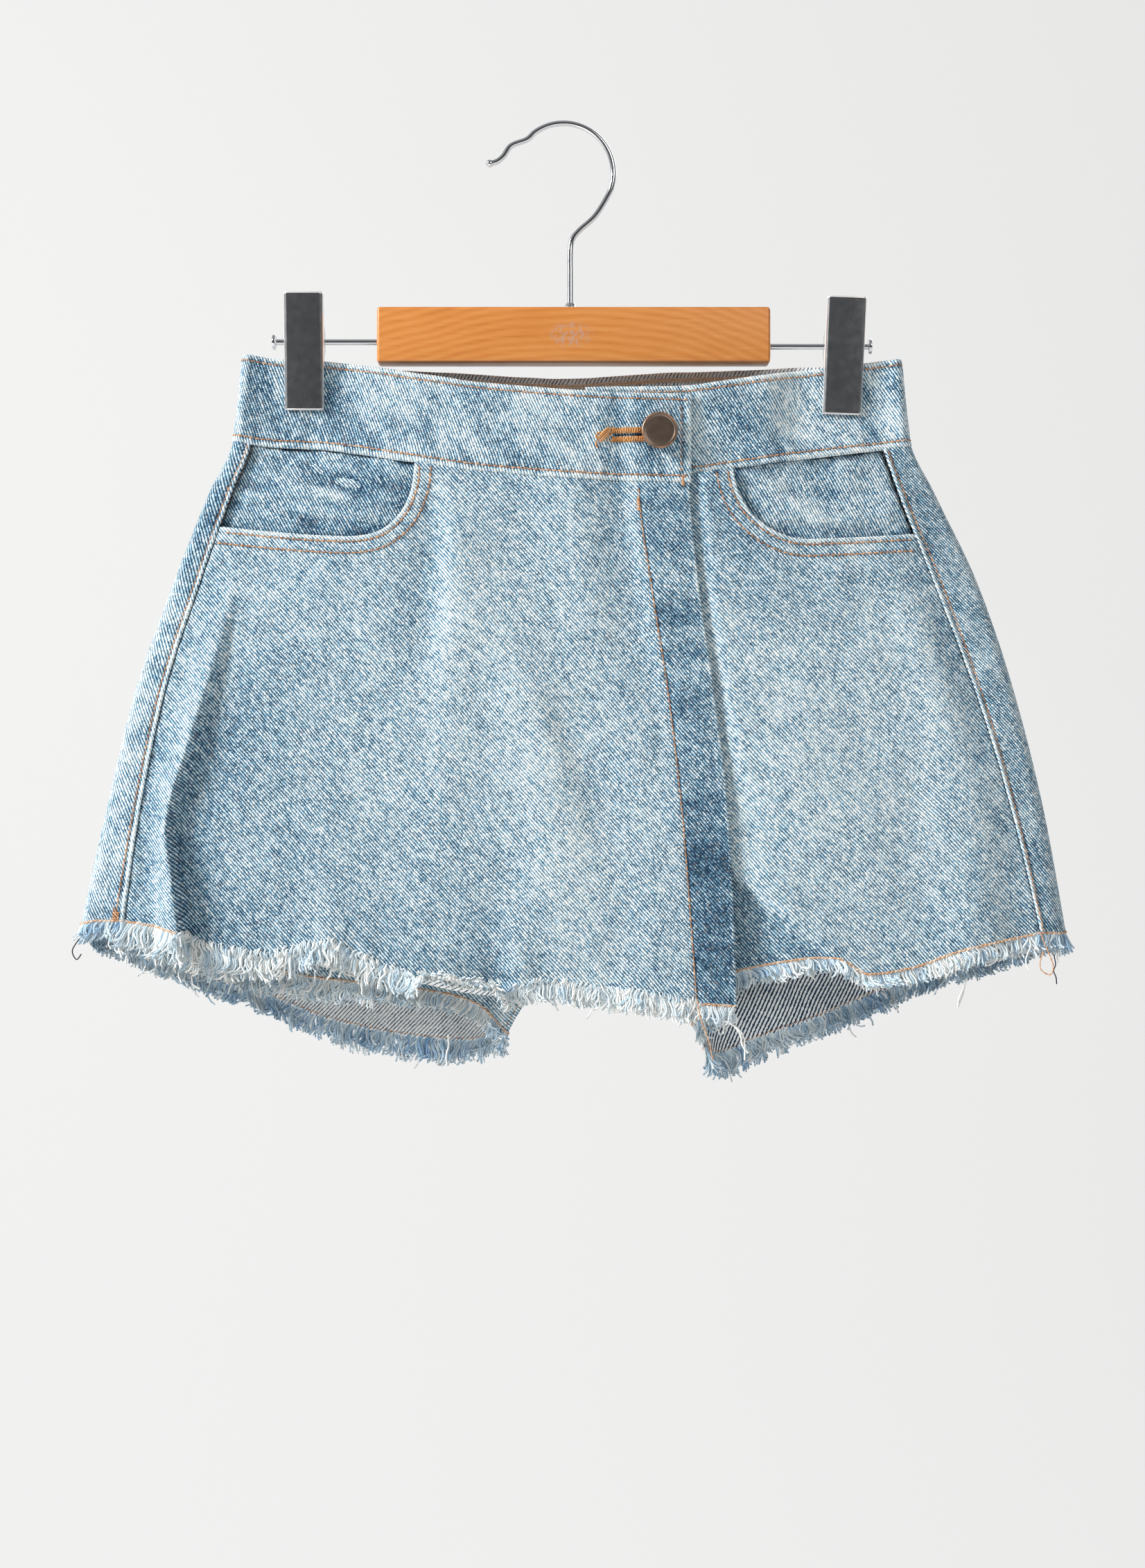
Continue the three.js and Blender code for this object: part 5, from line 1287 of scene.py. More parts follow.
def make_front(leg):
    surface = shorts_y(leg)
    inner = lambda z: np.where(z > CROTCH_Z, CROTCH_X, inseam[leg](z)) + 0.15 * leg
    if leg == LEFT:
        places = spaced((0, 1.2), (6, 2.6), (150, 2.6), (158, 1.2), (161, 0.4))
        columns = panel(surface, lambda z: left_seam(z) + 0.2, inner, shares(places))
        top = meet(columns, lambda x: band_top[LEFT](x) - BAND_HEIGHT - 1.5)
    else:
        places = spaced((0, 0.4), (3, 1.2), (10, 1.5), (52, 1.5), (62, 0.7), (76, 0.7), (84, 1.5), (110, 2), (140, 2), (145, 1),
                        (148.5, 0.35))
        seam = lambda z: right_seam(np.minimum(z, -201.0))
        columns = panel(surface, inner, seam, shares(places))
        top = meet(columns, open_top(RIGHT))
    bottom = meet(columns, hem_front[leg])
    head = spaced((0, 0.3), (1.2, 0.5), (4, 0.8), (10, 1.0), (14, 1.8))
    z = heights(top, bottom, head, 1.7 if leg == RIGHT else 3.0)
    points = columns[1](z)
    x = points[..., 0]
    normals = normals_of(points, TOWARDS_FRONT)
    to_mouth = distance_to(mouth[leg], x, z)
    to_side = (right_seam(z) - x) if leg == RIGHT else (x - left_seam(z))
    hem_distance = np.maximum(z - hem_front[leg](x), 0)
    to_inner = (x - inner(z)) * leg
    relief = 0.4 * bars(x, 17, 15) * np.exp(-hem_distance / 12)
    if leg == RIGHT:
        relief = relief + mouth_relief(to_mouth, x - z) - 0.6 * np.exp(-(to_side / 1.1) ** 2)
        relief += 0.30 * bars(z, 14, 5) * np.exp(-((to_side - 3) / 4) ** 2)
        relief += 0.16 * bars(x, 9, 7) * np.exp(-np.maximum(band_top[RIGHT](x) - BAND_HEIGHT - z, 0) / 5)
    points = points + normals * relief[..., None]
    rim = from_rim(points)
    if leg == RIGHT:
        rim = np.minimum(rim, np.where((x > 80) & (z > -208), to_mouth, 99))
    wash_and_painted_light = front_wash(x, z, leg, to_mouth, to_side, 61 + leg)
    if leg == RIGHT:
        wash_and_painted_light -= 0.85 * ease(corner_under(x, z) / 5)
        wash_and_painted_light -= 0.25 * ease((-z - 150) / 10) * (1 - ease((-z - 215) / 40))
        wash_and_painted_light += 0.22 * np.exp(-(((x - 150) / 60) ** 2 + ((z + 300) / 70) ** 2))
        wash_and_painted_light -= 0.55 * np.exp(-((to_mouth - 12) / 9) ** 2) * ease((110 - x) / 30)
    wash_and_painted_light -= 0.25 * np.exp(-hem_distance / 14)
    edge = np.minimum(to_mouth, 30) if leg == RIGHT else np.full_like(x, 30)
    rows = [np.abs(to_mouth - row) for row in POCKET_HEM] if leg == RIGHT else [np.full_like(x, 30)]
    stitch = np.minimum.reduce(rows + [hem_distance + 0.4])
    ink_and_painted_shade = 0.34 * np.exp(-(to_side / 0.7) ** 2) * ease((-200 - z) / 90)
    looks = {"cloth": grain(x, z, 46, 4 + leg), "wash_and_painted_light": wash_and_painted_light, "edge": edge, "stitch": stitch, "ink_and_painted_shade": ink_and_painted_shade}
    side = "left" if leg == LEFT else "right"
    front = shell(f"denim_front_{side}", points, normals, DENIM, looks, [FACE, REVERSE_PAINTED_LIGHT], rim)
    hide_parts(f"front_{side}")
    parts = []
    make_fringe(f"front_{side}", *hem_of(points, normals, DENIM), 140 + leg * 20, parts)
    sewing = Sewing(12 + leg)
    sewing.line(*along_hem(points, normals, 0.9), length=2.5, gap=-0.35, radius=0.5, slant=0.32, lift=0.3, level=(0.62, 1))
    below_crotch = points[:, 0 if leg == RIGHT else -1, 2] < CROTCH_Z - 4
    column = 4 if leg == RIGHT else -5
    sewing.line(points[below_crotch, column], normals[below_crotch, column], radius=0.3)
    if leg == RIGHT:
        for row in POCKET_HEM:
            line = moved(mouth[RIGHT], row)
            line = line[(line[:, 1] < band_top[RIGHT](line[:, 0]) - BAND_HEIGHT - 0.3) & (line[:, 0] < right_seam(line[:, 1]) - 1)]
            sewing.line(*lay(lambda x, z: surface(x, z) - 0.12, line), gap=0.4, radius=0.46, lift=0.25, level=(0.2, 0.8))
    stitches = sewing.make(f"front_{side}_stitching")


def make_back(leg):
    seam = left_seam if leg == LEFT else right_seam
    edge = left_edge if leg == LEFT else right_edge
    side = "left" if leg == LEFT else "right"
    inside = lambda z: edge(z) - fold_radius(z) * leg
    front_hem = hem_wrap if leg == LEFT else hem_front[RIGHT]
    centre = lambda z: np.where(z > CROTCH_Z, mix(WAIST_BACK_X, CROTCH_X, ease((z + 160) / (CROTCH_Z + 160))), inseam[leg](z)) + 0.15 * leg
    strip = spaced((0, 0.3), (1.2, 0.35), (4, 0.6), (8, 1.2), (12, 1.6))
    turns = np.linspace(0, 1, 13)
    across = spaced((0, 1.6), (8, 2.3), (180, 2.3), (186, 1.2), (189, 0.4))
    columns = joined(
        panel(front_y, lambda z: seam(z), inside, shares(strip)),
        side_fold(leg, turns[1:-1], 0),
        panel(shorts_back_y(leg), inside, centre, shares(across)),
    )
    turn = np.concatenate((np.zeros(len(strip)), turns[1:-1], np.ones(len(across))))
    seam_top = lambda x: mix(band_top[leg](x), band_top["back"](x), turn) - BAND_HEIGHT - 0.1
    top = meet(columns, seam_top)
    bottom = meet(columns, lambda x: mix(front_hem(x), hem_back[leg](x), turn))
    z = heights(top, bottom, spaced((0, 0.3), (1.2, 0.6), (4, 1.2), (10, 2)), 2.3)
    points = columns[1](z)
    normals = normals_of(points, TOWARDS_BACK)
    middle = normals[len(normals) // 2, -10]
    if middle[1] < 0:
        normals = -normals
    x = points[..., 0]
    s = run_lengths(points, 1)
    to_seam = s
    hem_distance = np.maximum(run_lengths(points, 0)[-1:] - run_lengths(points, 0), 0)
    on_back = np.broadcast_to(turn, x.shape) > 0.99
    to_centre = np.where(on_back, s[:, -1:] - s, 99)
    # The seam's folded edge stands up as a narrow ridge over the front panel, with its stitches beside it
    relief = (0.6 + 0.12 * bars(z, 3.1, 20)) * np.exp(-((to_seam - 0.8) / 0.85) ** 2) - 0.35 * np.exp(-((to_seam - SEAM_STITCH) / 0.7) ** 2)
    relief += 0.3 * bars(z, 12, 23 + leg) * np.exp(-((to_seam - 5) / 4) ** 2)
    relief += 0.45 * bars(s, 18, 16) * np.exp(-hem_distance / 12)
    above_crotch = z > CROTCH_Z
    relief += np.where(above_crotch, 0.30 * (leg == LEFT) * (1 - ease((to_centre - 7.5) / 1.4)), 0)
    relief -= np.where(above_crotch, 0.30 * np.exp(-((to_centre - 2.2) / 0.8) ** 2) + 0.3 * np.exp(-((to_centre - 7) / 0.8) ** 2), 0) * (leg == LEFT)
    relief += 0.25 * bars(z, 9, 31) * np.exp(-((to_centre - 4.5) / 3) ** 2)
    points = points + normals * relief[..., None]
    to_band = np.maximum(run_lengths(points, 0), 0)
    wash_and_painted_light = 0.22 * waves(s, z, 48, 71 + leg) + 0.16 * waves(s, z, 18, 73 + leg, 1.5)
    wash_and_painted_light -= 0.45 * np.exp(-to_band / 9) * (0.55 + 0.45 * bars(s, 20, 74))
    wash_and_painted_light -= 0.75 * np.exp(-((to_seam - 6) / 5.5) ** 2) * (0.4 + 0.6 * bars(z, 24, 75 + leg))
    wash_and_painted_light -= 0.5 * np.exp(-((to_centre - 10) / 6) ** 2) * (0.4 + 0.6 * bars(z, 22, 76)) * above_crotch
    wash_and_painted_light -= 0.28 * np.exp(-hem_distance / 14)
    wash_and_painted_light += np.where(on_back, 0.22 * crease_height(CREASES_BACK, x, z), 0.0)
    wash_and_painted_light += 0.35 * np.exp(-(((np.abs(x - 10) - 85) / 60) ** 2 + ((z + 290) / 70) ** 2)) * on_back
    # Painted light and shade: the strip of the back seen at the side is painted lighter on the left and darker on the
    # right, as the light from the left falls on it
    side_strip_painted_light = 0.16 if leg == LEFT else -0.25
    wash_and_painted_light += np.where(on_back, 0, side_strip_painted_light)
    wash_and_painted_light += 0.5 * np.exp(-((to_seam - 0.8) / 0.9) ** 2) * mix(0.2, 1, ease((-230 - z) / 80))
    if leg == LEFT:
        wash_and_painted_light -= 0.9 * ease((z + 240) / 45) * (1 - ease((to_seam - 20) / 8))
    edge_wear = np.minimum(np.maximum(to_seam - 0.4, 0) * 1.5, 30)
    stitch = np.minimum(np.abs(to_seam - SEAM_STITCH) + 0.2, hem_distance + 0.4)
    if leg == LEFT:
        stitch = np.minimum(stitch, np.where(above_crotch, np.minimum(np.abs(to_centre - 2.2), np.abs(to_centre - 7)), 99))
    ink_and_painted_shade = 0.12 * np.exp(-(to_seam / 0.3) ** 2)
    looks = {"cloth": grain(s * leg, z, 58, 7 + leg), "wash_and_painted_light": wash_and_painted_light, "edge": edge_wear, "stitch": stitch, "ink_and_painted_shade": ink_and_painted_shade}
    # The inside of the leg shows at the hem: the left gets the reverse painted lighter as painted light, the right the
    # reverse painted darker as painted shade
    back = shell(f"denim_back_{side}", points, normals, DENIM, looks, [FACE, REVERSE_PAINTED_LIGHT if leg == LEFT else REVERSE_SHADED])
    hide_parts(f"back_{side}")
    parts = []
    white = WHITE_BACK if leg == LEFT else WHITE_RIGHT
    make_fringe(f"back_{side}", *hem_of(points, normals, DENIM), 180 + leg * 20, parts, loose=white, tone=0.66,
                reach=fringe_back_length)
    parts.append(loose_dark(f"loose_thread_{side}", DARK_LEFT if leg == LEFT else DARK_RIGHT))
    sewing = Sewing(22 + leg)
    sewing.line(*along_hem(points, normals, 0.9), length=2.5, gap=-0.35, radius=0.5, slant=0.32, lift=0.3, level=(0.62, 1))
    hem_inside, hem_normals = along_hem(points, normals, 1.2)
    sewing.line(hem_inside - hem_normals * DENIM, -hem_normals, length=2.3, gap=0.25, radius=0.32, slant=0.5, level=(0.4, 1))
    beside = int(np.argmin(np.abs(s[len(s) // 2] - SEAM_STITCH)))
    sewing.line(points[3:-2, beside], normals[3:-2, beside], radius=0.38, gap=0.3, lift=0.25, level=(0.2, 0.8))
    if leg == LEFT:
        sewing.cross(points[-6:-3, beside], normals[-6:-3, beside], width=3.2, pitch=0.7, radius=0.36, lift=0.5, zigzag=0.5)
    if leg == LEFT:
        for distance in (2.2, 7):
            column = int(np.argmin(np.abs(to_centre[20] - distance)))
            keep = (points[:, column, 2] > CROTCH_Z - 2)
            sewing.line(points[keep, column][2:], normals[keep, column][2:], radius=0.34)
    if leg == RIGHT:
        loose_orange(sewing, ORANGE_RIGHT)
    stitches = sewing.make(f"back_{side}_stitching")


def make_pocket_facing(leg):
    rows = POCKET_LEFT if leg == LEFT else POCKET_RIGHT
    side = "left" if leg == LEFT else "right"
    panel_y = front_y if leg == LEFT else shorts_y(leg)
    surface = lambda x, z: panel_y(x, z) + UNDER_POCKET
    seam = (lambda z: left_seam(z) + 0.6) if leg == LEFT else (lambda z: right_seam(z) - 0.6)
    inner = lambda z: np.full_like(z, rows[0][0] - 13 * leg)
    lowest = min(z for _, z in rows) - 14
    columns = panel(surface, seam, inner, np.linspace(0, 1, 62))
    top = meet(columns, lambda x: band_top[leg](x) - BAND_HEIGHT - 0.4)
    bottom = meet(columns, lambda x: np.full_like(x, lowest))
    z = mix(top, bottom, np.linspace(0, 1, 40)[:, None])
    points = columns[1](z)
    normals = normals_of(points, TOWARDS_FRONT)
    x = points[..., 0]
    to_mouth = distance_to(mouth[leg], x, z)
    to_band = np.maximum(band_top[leg](x) - BAND_HEIGHT - z, 0)
    relief = 0.5 * waves(x * 0.6 + z * 0.5, z * 1.2, 13, 81 + leg) - 0.2
    relief += 0.35 * bars(x, 11, 83 + leg) * np.exp(-to_band / 7)
    relief += 0.9 * np.exp(-((to_mouth - 13) / 8) ** 2) * (z > -200) - 0.5
    points = points + normals * np.minimum(relief, 1.2)[..., None]
    far = np.full_like(x, 20.0)
    pale = -0.35 if leg == LEFT else 0.15
    wash_and_painted_light = 0.4 * waves(x * 0.6 + z * 0.5, z * 1.2, 13, 81 + leg) + 0.25 * waves(x, z, 26, 87 + leg) + 0.35 * bars(x, 11, 83 + leg) * np.exp(-to_band / 8) + pale
    # Painted shade: the facing is painted darker just under the pocket mouth's edge and just below the band, where they
    # shade it
    wash_and_painted_light -= 0.45 * np.exp(-to_mouth / 4) + 0.25 * np.exp(-to_band / 3)
    wash_and_painted_light += 0.5 * crease_height(CREASES_FRONT, x, z)
    if leg == LEFT:
        wash_and_painted_light -= 0.75 * np.exp(-(((x + 100) / 24) ** 2 + ((z + 177 + 0.25 * (x + 98)) / 7) ** 2))
        wash_and_painted_light += 0.6 * np.exp(-(((x + 118) / 20) ** 2 + ((z + 165) / 5) ** 2))
    # Painted shadow: a dark spot under the lower corner of the left pocket mouth, and a dark line along the mouth
    dark = 0.5 * np.exp(-(((x + 98) / 7) ** 2 + ((z + 201) / 3.5) ** 2)) * (leg == LEFT)
    looks = {"cloth": grain(x, z, 60, 10 + leg), "wash_and_painted_light": wash_and_painted_light, "edge": far, "stitch": far, "ink_and_painted_shade": dark + 0.08 * np.exp(-to_mouth / 2)}
    facing = shell(f"pocket_{side}_facing", points, normals, FACING, looks, [DARK_FACE, REVERSE_PAINTED_LIGHT])
    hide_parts(f"pocket_facing_{side}")


make_waistband()
make_wrap()
make_wrap_facing()
make_front(LEFT)
make_front(RIGHT)
make_back(LEFT)
make_back(RIGHT)
make_pocket_facing(LEFT)
make_pocket_facing(RIGHT)


# Hard parts
def lathe(name, profile, material, sides=48, centre=(0, 0, 0), axis="z", rim=None):
    """Turns (radius, height) points round an axis. `rim` gives the wear at each point."""
    profile = np.array(profile, float)
    angle = np.arange(sides) * 2 * math.pi / sides
    r, h = profile[:, 0][:, None], np.broadcast_to(profile[:, 1][:, None], (len(profile), sides))
    ring = [r * np.cos(angle), r * np.sin(angle), h]
    order = {"z": (0, 1, 2), "x": (2, 0, 1), "y": (1, 2, 0)}[axis]
    points = np.stack([ring[k] for k in order], -1).reshape(-1, 3) + np.array(centre, float)
    index = np.arange(len(profile) * sides).reshape(len(profile), sides)
    onward = np.roll(index, -1, 1)
    faces = np.stack((index[:-1], onward[:-1], onward[1:], index[1:]), -1).reshape(-1, 4).tolist()
    faces += [index[0, ::-1].tolist(), index[-1].tolist()]
    worn = np.repeat(np.zeros(len(profile)) if rim is None else np.array(rim, float), sides)
    return new_object(name, points, faces, [material], None, {"rim": worn})


def rounded(profile, radius=0.3, steps=3):
    """Rounds the corners of an open profile."""
    points = [np.array(p, float) for p in profile]
    made = [points[0]]
    for before, corner, after in zip(points, points[1:], points[2:]):
        to_before, to_after = before - corner, after - corner
        cut = min(radius, np.linalg.norm(to_before) * 0.45, np.linalg.norm(to_after) * 0.45)
        start = corner + to_before / np.linalg.norm(to_before) * cut
        end = corner + to_after / np.linalg.norm(to_after) * cut
        for t in np.linspace(0, 1, steps + 1):
            made.append((1 - t) ** 2 * start + 2 * t * (1 - t) * corner + t * t * end)
    made.append(points[-1])
    return made


def tube(name, points, radius, material, sides=20, level=None):
    """A round wire along a smooth path, closed at its ends."""
    path = np.array(points, float)[None]
    radii = np.full(path.shape[:2], radius) if np.isscalar(radius) else np.array(radius, float)[None]
    if level is not None:
        return strands(name, path, radii, np.array([level]), material, sides)
    side, over = ring_frames(path)
    angle = np.arange(sides) * 2 * math.pi / sides
    ring = side[0][:, None] * np.cos(angle)[:, None] + over[0][:, None] * np.sin(angle)[:, None]
    rings = (path[0][:, None] + ring * radii[0][:, None, None]).reshape(-1, 3)
    index = np.arange(len(rings)).reshape(-1, sides)
    onward = np.roll(index, -1, 1)
    faces = np.stack((index[:-1], index[1:], onward[1:], onward[:-1]), -1).reshape(-1, 4)[:, ::-1].tolist()
    faces += [index[0].tolist(), index[-1, ::-1].tolist()]
    return new_object(name, rings, faces, [material], None, {"rim": np.zeros(len(rings))})


BUTTON_X, BUTTON_Z = 45.8, -151.9
HOOK_X, HOOK_RADIUS, WIRE_RADIUS = -0.7, 24.4, 1.45
STEM_X = 2.6
BAR = {"left": -91.8, "right": 100.3, "top": -89.7, "bottom": -116.9, "depth": 14.5}
RODS = {LEFT: {"z": -106, "head": -143.4}, RIGHT: {"z": -108.2, "head": 150.4}}
CLIPS = {LEFT: {"x": -127.4, "tilt": 0.0}, RIGHT: {"x": 136.6, "tilt": 0.033}}


def make_button():
    face = float(band_y(np.array(BUTTON_X), np.array(BUTTON_Z)))
    profile = rounded([(0.01, 2.9), (1.9, 2.9), (1.9, -1.5), (7, -1.7), (8.3, -2.3), (8.85, -3.3), (8.85, -4.2), (8.3, -4.95),
                       (7.5, -4.8), (6.9, -4.5), (5, -4.42), (0.01, -4.4)], 0.45, 4)
    wear = [1.0 if 7.9 < p[0] and p[1] < -2 else 0.0 for p in profile]
    button = lathe("shank_button", profile, BRONZE, 72, (BUTTON_X, face, BUTTON_Z), "y", wear)
    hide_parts("waist_button")


def make_hook():
    points = [(-36.8, -18.3), (-33.4, -17.3), (-30.3, -14.8), (-26.4, -9.6)]
    centre_z = WIRE_RADIUS - HOOK_RADIUS
    for angle in np.radians(np.linspace(138, -27, 14)):
        points.append((HOOK_X + HOOK_RADIUS * math.cos(angle), centre_z + HOOK_RADIUS * math.sin(angle)))
    points += [(14.8, -44), (7, -51.2), (3.6, -55.6), (STEM_X, -61), (STEM_X, -75), (STEM_X, BAR["top"] - 8)]
    path = spline(points, 7)
    hook = tube("hook_wire", np.stack((path[:, 0], 0 * path[:, 0], path[:, 1]), -1), WIRE_RADIUS, CHROME, 24)
    ball_angle = np.linspace(0, math.pi, 13)
    ball = lathe("hook_ball", [(1.96 * max(math.sin(a), 0.01), 1.96 * math.cos(a)) for a in ball_angle], CHROME, 24,
                 (-36.8, 0, -18.3))
    base = BAR["top"] + 0.05
    collar = lathe("hook_collar", rounded([(1.6, base + 2.7), (2.4, base + 2.6), (2.7, base + 1.2), (3.4, base + 0.7), (3.4, base),
                                           (1.6, base)], 0.3), CHROME, 36, (STEM_X, 0, 0))
    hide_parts("hanger_hook")
    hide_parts("hanger_collar")


def make_bar():
    """A wooden bar with softly rounded edges, cut across the grain at its ends."""
    half_x, half_y, half_z = (BAR["right"] - BAR["left"]) / 2, BAR["depth"] / 2, (BAR["top"] - BAR["bottom"]) / 2
    centre = np.array([(BAR["right"] + BAR["left"]) / 2, 0, (BAR["top"] + BAR["bottom"]) / 2])
    radius = 1.5
    corner = np.linspace(0, math.pi / 2, 6)
    outline = []
    for turn, (sy, sz) in enumerate(((1, 1), (-1, 1), (-1, -1), (1, -1))):
        for a in corner + turn * math.pi / 2:
            outline.append((sy * (half_y - radius) + radius * math.cos(a), sz * (half_z - radius) + radius * math.sin(a)))
    outline = np.array(outline)
    stations = [(-half_x + radius * (1 - math.sin(a)), radius * (1 - math.cos(a))) for a in np.linspace(math.pi / 2, 0, 6)]
    stations = stations + [(-x, inset) for x, inset in reversed(stations)]
    rings = []
    for x, inset in stations:
        scale = np.array([(half_y - inset) / half_y, (half_z - inset) / half_z])
        ring = outline * scale
        rings.append(np.column_stack((np.full(len(ring), x), ring)))
    points = np.concatenate(rings) + centre
    index = np.arange(len(points)).reshape(len(rings), -1)
    onward = np.roll(index, -1, 1)
    faces = np.stack((index[:-1], onward[:-1], onward[1:], index[1:]), -1).reshape(-1, 4)[:, ::-1].tolist()
    faces += [index[0].tolist(), index[-1, ::-1].tolist()]
    bar = new_object("wooden_bar", points, faces, [WOOD])
    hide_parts("hanger_bar")


def make_rod(side):
    rod = RODS[side]
    word = "left" if side == LEFT else "right"
    start = BAR["left"] + 8 if side == LEFT else BAR["right"] - 8
    length = abs(rod["head"] - start)
    profile = rounded([(0.01, 0), (1.5, 0), (1.5, length - 1.6), (3.8, length - 1.6), (3.8, length), (0.01, length)], 0.35)
    profile = [(r, h * side) for r, h in profile]
    if side == LEFT:
        profile = profile[::-1]
    made = lathe(f"rod_{word}", profile, CHROME, 28, (start, 0, rod["z"]), "x")
    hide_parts(f"hanger_rod_{word}")


CLIP_ABOVE, CLIP_BELOW = 23, 34


def jaw(name, width, facing, side):
    """A pressed clip jaw: a flat plate with round shoulders and two folded ears that hold the rod."""
    place = CLIPS[side]
    half = width / 2
    shoulder = 1.9
    sheet = 1.0
    heights_ = np.concatenate((np.linspace(CLIP_ABOVE, CLIP_ABOVE - 2, 4), np.linspace(CLIP_ABOVE - 4, -CLIP_BELOW + 4, 22),
                               np.linspace(-CLIP_BELOW + 2, -CLIP_BELOW, 3)))
    plate = np.interp(heights_, [-CLIP_BELOW, CLIP_ABOVE], [-4.8, -10.6])
    ear = np.interp(heights_, [-34, -10, -5.2, -3, 3, 5.2, 6.4, 23], [-3.5, -3.5, 2.2, 3.6, 3.6, 2.4, -4.6, -7.0])
    arc = np.linspace(0, math.pi / 2, 6)
    section = []
    for turn in arc:
        section.append((-half + shoulder * (1 - math.cos(turn)), shoulder * (1 - math.sin(turn)), math.cos(turn)))
    outer = [(-half, None, 0.6)] + section + [(-x, y, w) for x, y, w in reversed(section)] + [(half, None, 0.6)]
    rows = []
    wear = []
    for z, front, back in zip(heights_, plate, ear):
        end = max(abs(z - CLIP_ABOVE), 0), max(abs(z + CLIP_BELOW), 0)
        pinch = 0.0 if min(end) > 0.1 else 0.35
        row = []
        for x, depth, w in outer:
            y = back if depth is None else front + depth
            row.append((x * (1 - pinch / half), min(y, max(back, front + 0.3)), z))
        rows.append(row)
        wear.append([w if min(end) > 0.8 else 1.0 for _, _, w in outer])
    points = np.array(rows)
    normal = normals_of(points, (0, -1, 0))
    inner = points - normal * sheet
    both = np.concatenate((points.reshape(-1, 3), inner.reshape(-1, 3)))
    if facing == "back":
        both[:, :2] *= -1
    tilt = place["tilt"]
    x, z = both[:, 0].copy(), both[:, 2].copy()
    both[:, 0] = x * math.cos(tilt) + z * math.sin(tilt) + place["x"]
    both[:, 2] = z * math.cos(tilt) - x * math.sin(tilt) + RODS[side]["z"]
    count, across = points.shape[:2]
    index = np.arange(count * across).reshape(count, across)
    far = index.size
    quads = np.stack((index[:-1, :-1], index[1:, :-1], index[1:, 1:], index[:-1, 1:]), -1).reshape(-1, 4)
    loop = np.concatenate((index[0, :-1], index[:-1, -1], index[-1, :0:-1], index[:0:-1, 0]))
    after = np.roll(loop, -1)
    rim_quads = np.stack((loop, after, after + far, loop + far), -1)
    faces = np.vstack((quads, quads[:, ::-1] + far, rim_quads))
    # These rim values drive the rubbed wear and, on the clip metal, the painted highlight on the rim
    worn = np.concatenate([np.array(wear).ravel()] * 2)
    made = new_object(name, both, faces.tolist(), [CLIP_METAL], None, {"rim": worn})
    return made


def make_clip(side):
    word = "left" if side == LEFT else "right"
    front = jaw(f"clip_{word}_front", 19.3, "front", side)
    back = jaw(f"clip_{word}_back", 16.2, "back", side)
    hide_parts(f"clip_{word}_front_jaw")
    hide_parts(f"clip_{word}_back_jaw")
    turns, radius, length = 6.0, 3.2, 11.5
    t = np.linspace(0, 1, 150)
    angle = t * turns * 2 * math.pi
    legs = [(-length / 2 + 0.2, -9.0, 15.0), (-length / 2, -3.6, 4.6)]
    coil = np.stack(((t - 0.5) * length, -radius * np.cos(angle), radius * np.sin(angle)), -1)
    path = np.vstack((np.array(legs), coil, np.array([(length / 2, 3.6, 4.6), (length / 2 - 0.2, 8.6, 15.0)])))
    path = path + np.array([CLIPS[side]["x"], 0, RODS[side]["z"]])
    spring = tube(f"spring_{word}", path, 0.75, SPRING_STEEL, 10)
    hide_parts(f"clip_{word}_spring")


make_button()
make_hook()
make_bar()
make_rod(LEFT)
make_rod(RIGHT)
make_clip(LEFT)
make_clip(RIGHT)


# Stage, light and camera
def stage_material():
    shader = Shader("backdrop")
    return shader.finish(Base_Color=(0.30, 0.30, 0.298, 1), Roughness=1.0, Emission_Color=(1, 1, 0.99, 1),
                         Emission_Strength=0.545)


def make_backdrop():
    """A pale floor far below that sweeps up into a wall far behind."""
    far, low, bend, half = 2.6, -1.5, 0.9, 14.0
    profile = [(-4.5, low), (far - bend, low)]
    for angle in np.linspace(0, math.pi / 2, 14)[1:]:
        profile.append((far - bend + bend * math.sin(angle), low + bend * (1 - math.cos(angle))))
    profile.append((far, 4.5))
    points, faces = [], []
    for i, (y, z) in enumerate(profile):
        points += [(-half, y, z), (half, y, z)]
        if i:
            faces.append((2 * i - 2, 2 * i - 1, 2 * i + 1, 2 * i))
    mesh = bpy.data.meshes.new("backdrop")
    mesh.from_pydata(points, [], faces)
    mesh.materials.append(stage_material())
    mesh.polygons.foreach_set("use_smooth", np.ones(len(faces), bool))
    backdrop = bpy.data.objects.new("backdrop", mesh)
    bpy.context.scene.collection.objects.link(backdrop)


def area_light(name, place, size, power, target=(0, 0, -0.28), colour=(1, 1, 1)):
    light = bpy.data.lights.new(name, "AREA")
    light.shape = "RECTANGLE"
    light.size, light.size_y = size
    light.energy = power
    light.color = colour
    made = bpy.data.objects.new(name, light)
    made.location = place
    made.rotation_euler = (Vector(target) - Vector(place)).to_track_quat("-Z", "Y").to_euler()
    bpy.context.scene.collection.objects.link(made)


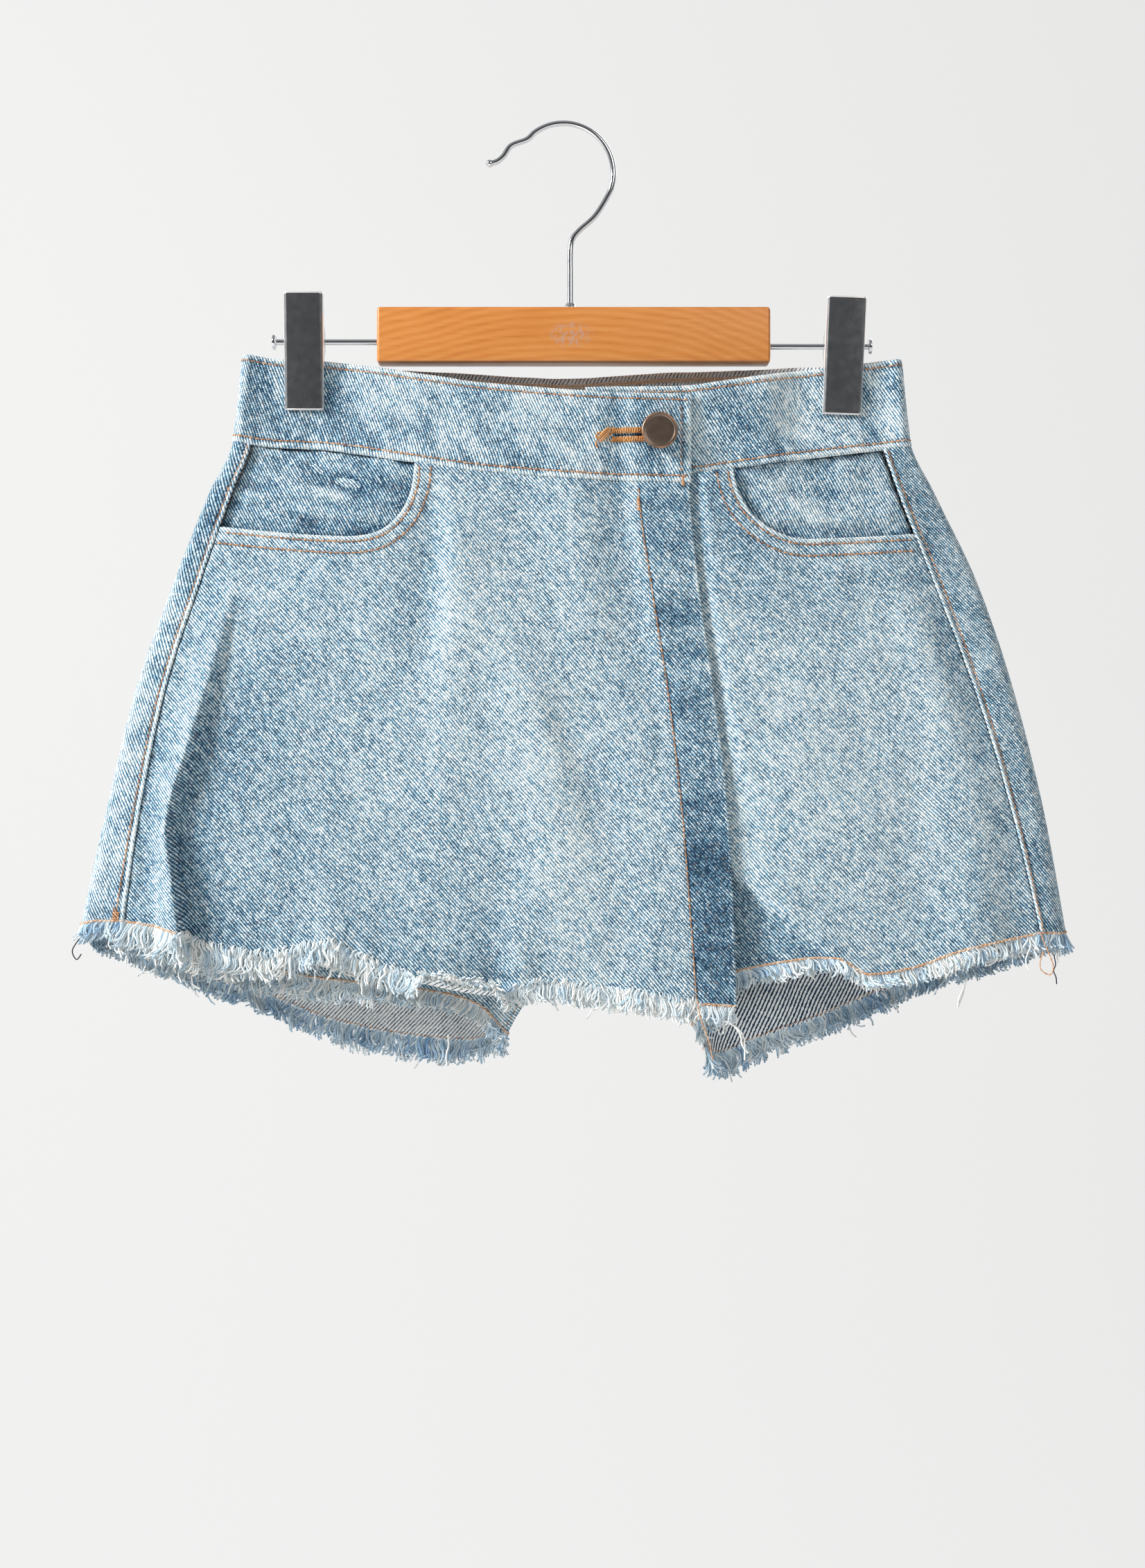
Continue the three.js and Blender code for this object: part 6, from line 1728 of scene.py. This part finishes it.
def make_light():
    area_light("key_left", (-3.4, -1.5, 1.5), (1.0, 1.0), 222)
    area_light("fill_right", (1.3, -2.1, 0.95), (1.3, 1.3), 16)
    area_light("low_left", (-0.9, -1.3, -1.25), (0.9, 0.9), 3.5, (-0.06, 0, -0.43))
    area_light("back_light", (0.9, 1.7, 1.0), (1.4, 1.2), 10)
    # The studio is dim in front, where the camera stands, and bright at the sides: polished metal shows both
    world = bpy.data.worlds.new("studio")
    bpy.context.scene.world = world
    world.use_nodes = True
    tree = world.node_tree
    direction = tree.nodes.new("ShaderNodeTexCoord").outputs["Generated"]
    front = tree.nodes.new("ShaderNodeVectorMath")
    front.operation = "DOT_PRODUCT"
    front.inputs[1].default_value = (0, -1, 0)
    tree.links.new(direction, front.inputs[0])
    dim = tree.nodes.new("ShaderNodeMapRange")
    dim.interpolation_type = "SMOOTHSTEP"
    for socket, value in zip(("From Min", "From Max", "To Min", "To Max"), (0.55, 0.93, 0.27, 0.075)):
        dim.inputs[socket].default_value = value
    tree.links.new(front.outputs["Value"], dim.inputs["Value"])
    aside = tree.nodes.new("ShaderNodeVectorMath")
    aside.operation = "DOT_PRODUCT"
    aside.inputs[1].default_value = (0.8, 0, -0.6)
    tree.links.new(direction, aside.inputs[0])
    fade = tree.nodes.new("ShaderNodeMapRange")
    for socket, value in zip(("From Min", "From Max", "To Min", "To Max"), (-0.6, 0.6, 1.35, 0.5)):
        fade.inputs[socket].default_value = value
    tree.links.new(aside.outputs["Value"], fade.inputs["Value"])
    strength = tree.nodes.new("ShaderNodeMath")
    strength.operation = "MULTIPLY"
    tree.links.new(dim.outputs[0], strength.inputs[0])
    tree.links.new(fade.outputs[0], strength.inputs[1])
    tree.links.new(strength.outputs[0], tree.nodes["Background"].inputs["Strength"])
    tree.nodes["Background"].inputs["Color"].default_value = (0.95, 0.97, 1, 1)


def make_camera():
    camera = bpy.data.cameras.new("camera")
    camera.sensor_fit = "VERTICAL"
    camera.sensor_height = 36
    camera.lens = 56.15
    camera.clip_start, camera.clip_end = 0.05, 30
    made = bpy.data.objects.new("camera", camera)
    made.location = (0.0037, -1.2, -0.3227)
    made.rotation_euler = (math.pi / 2, 0, 0)
    bpy.context.scene.collection.objects.link(made)
    bpy.context.scene.camera = made


make_backdrop()
make_light()
make_camera()
bpy.context.scene.view_settings.view_transform = "Standard"
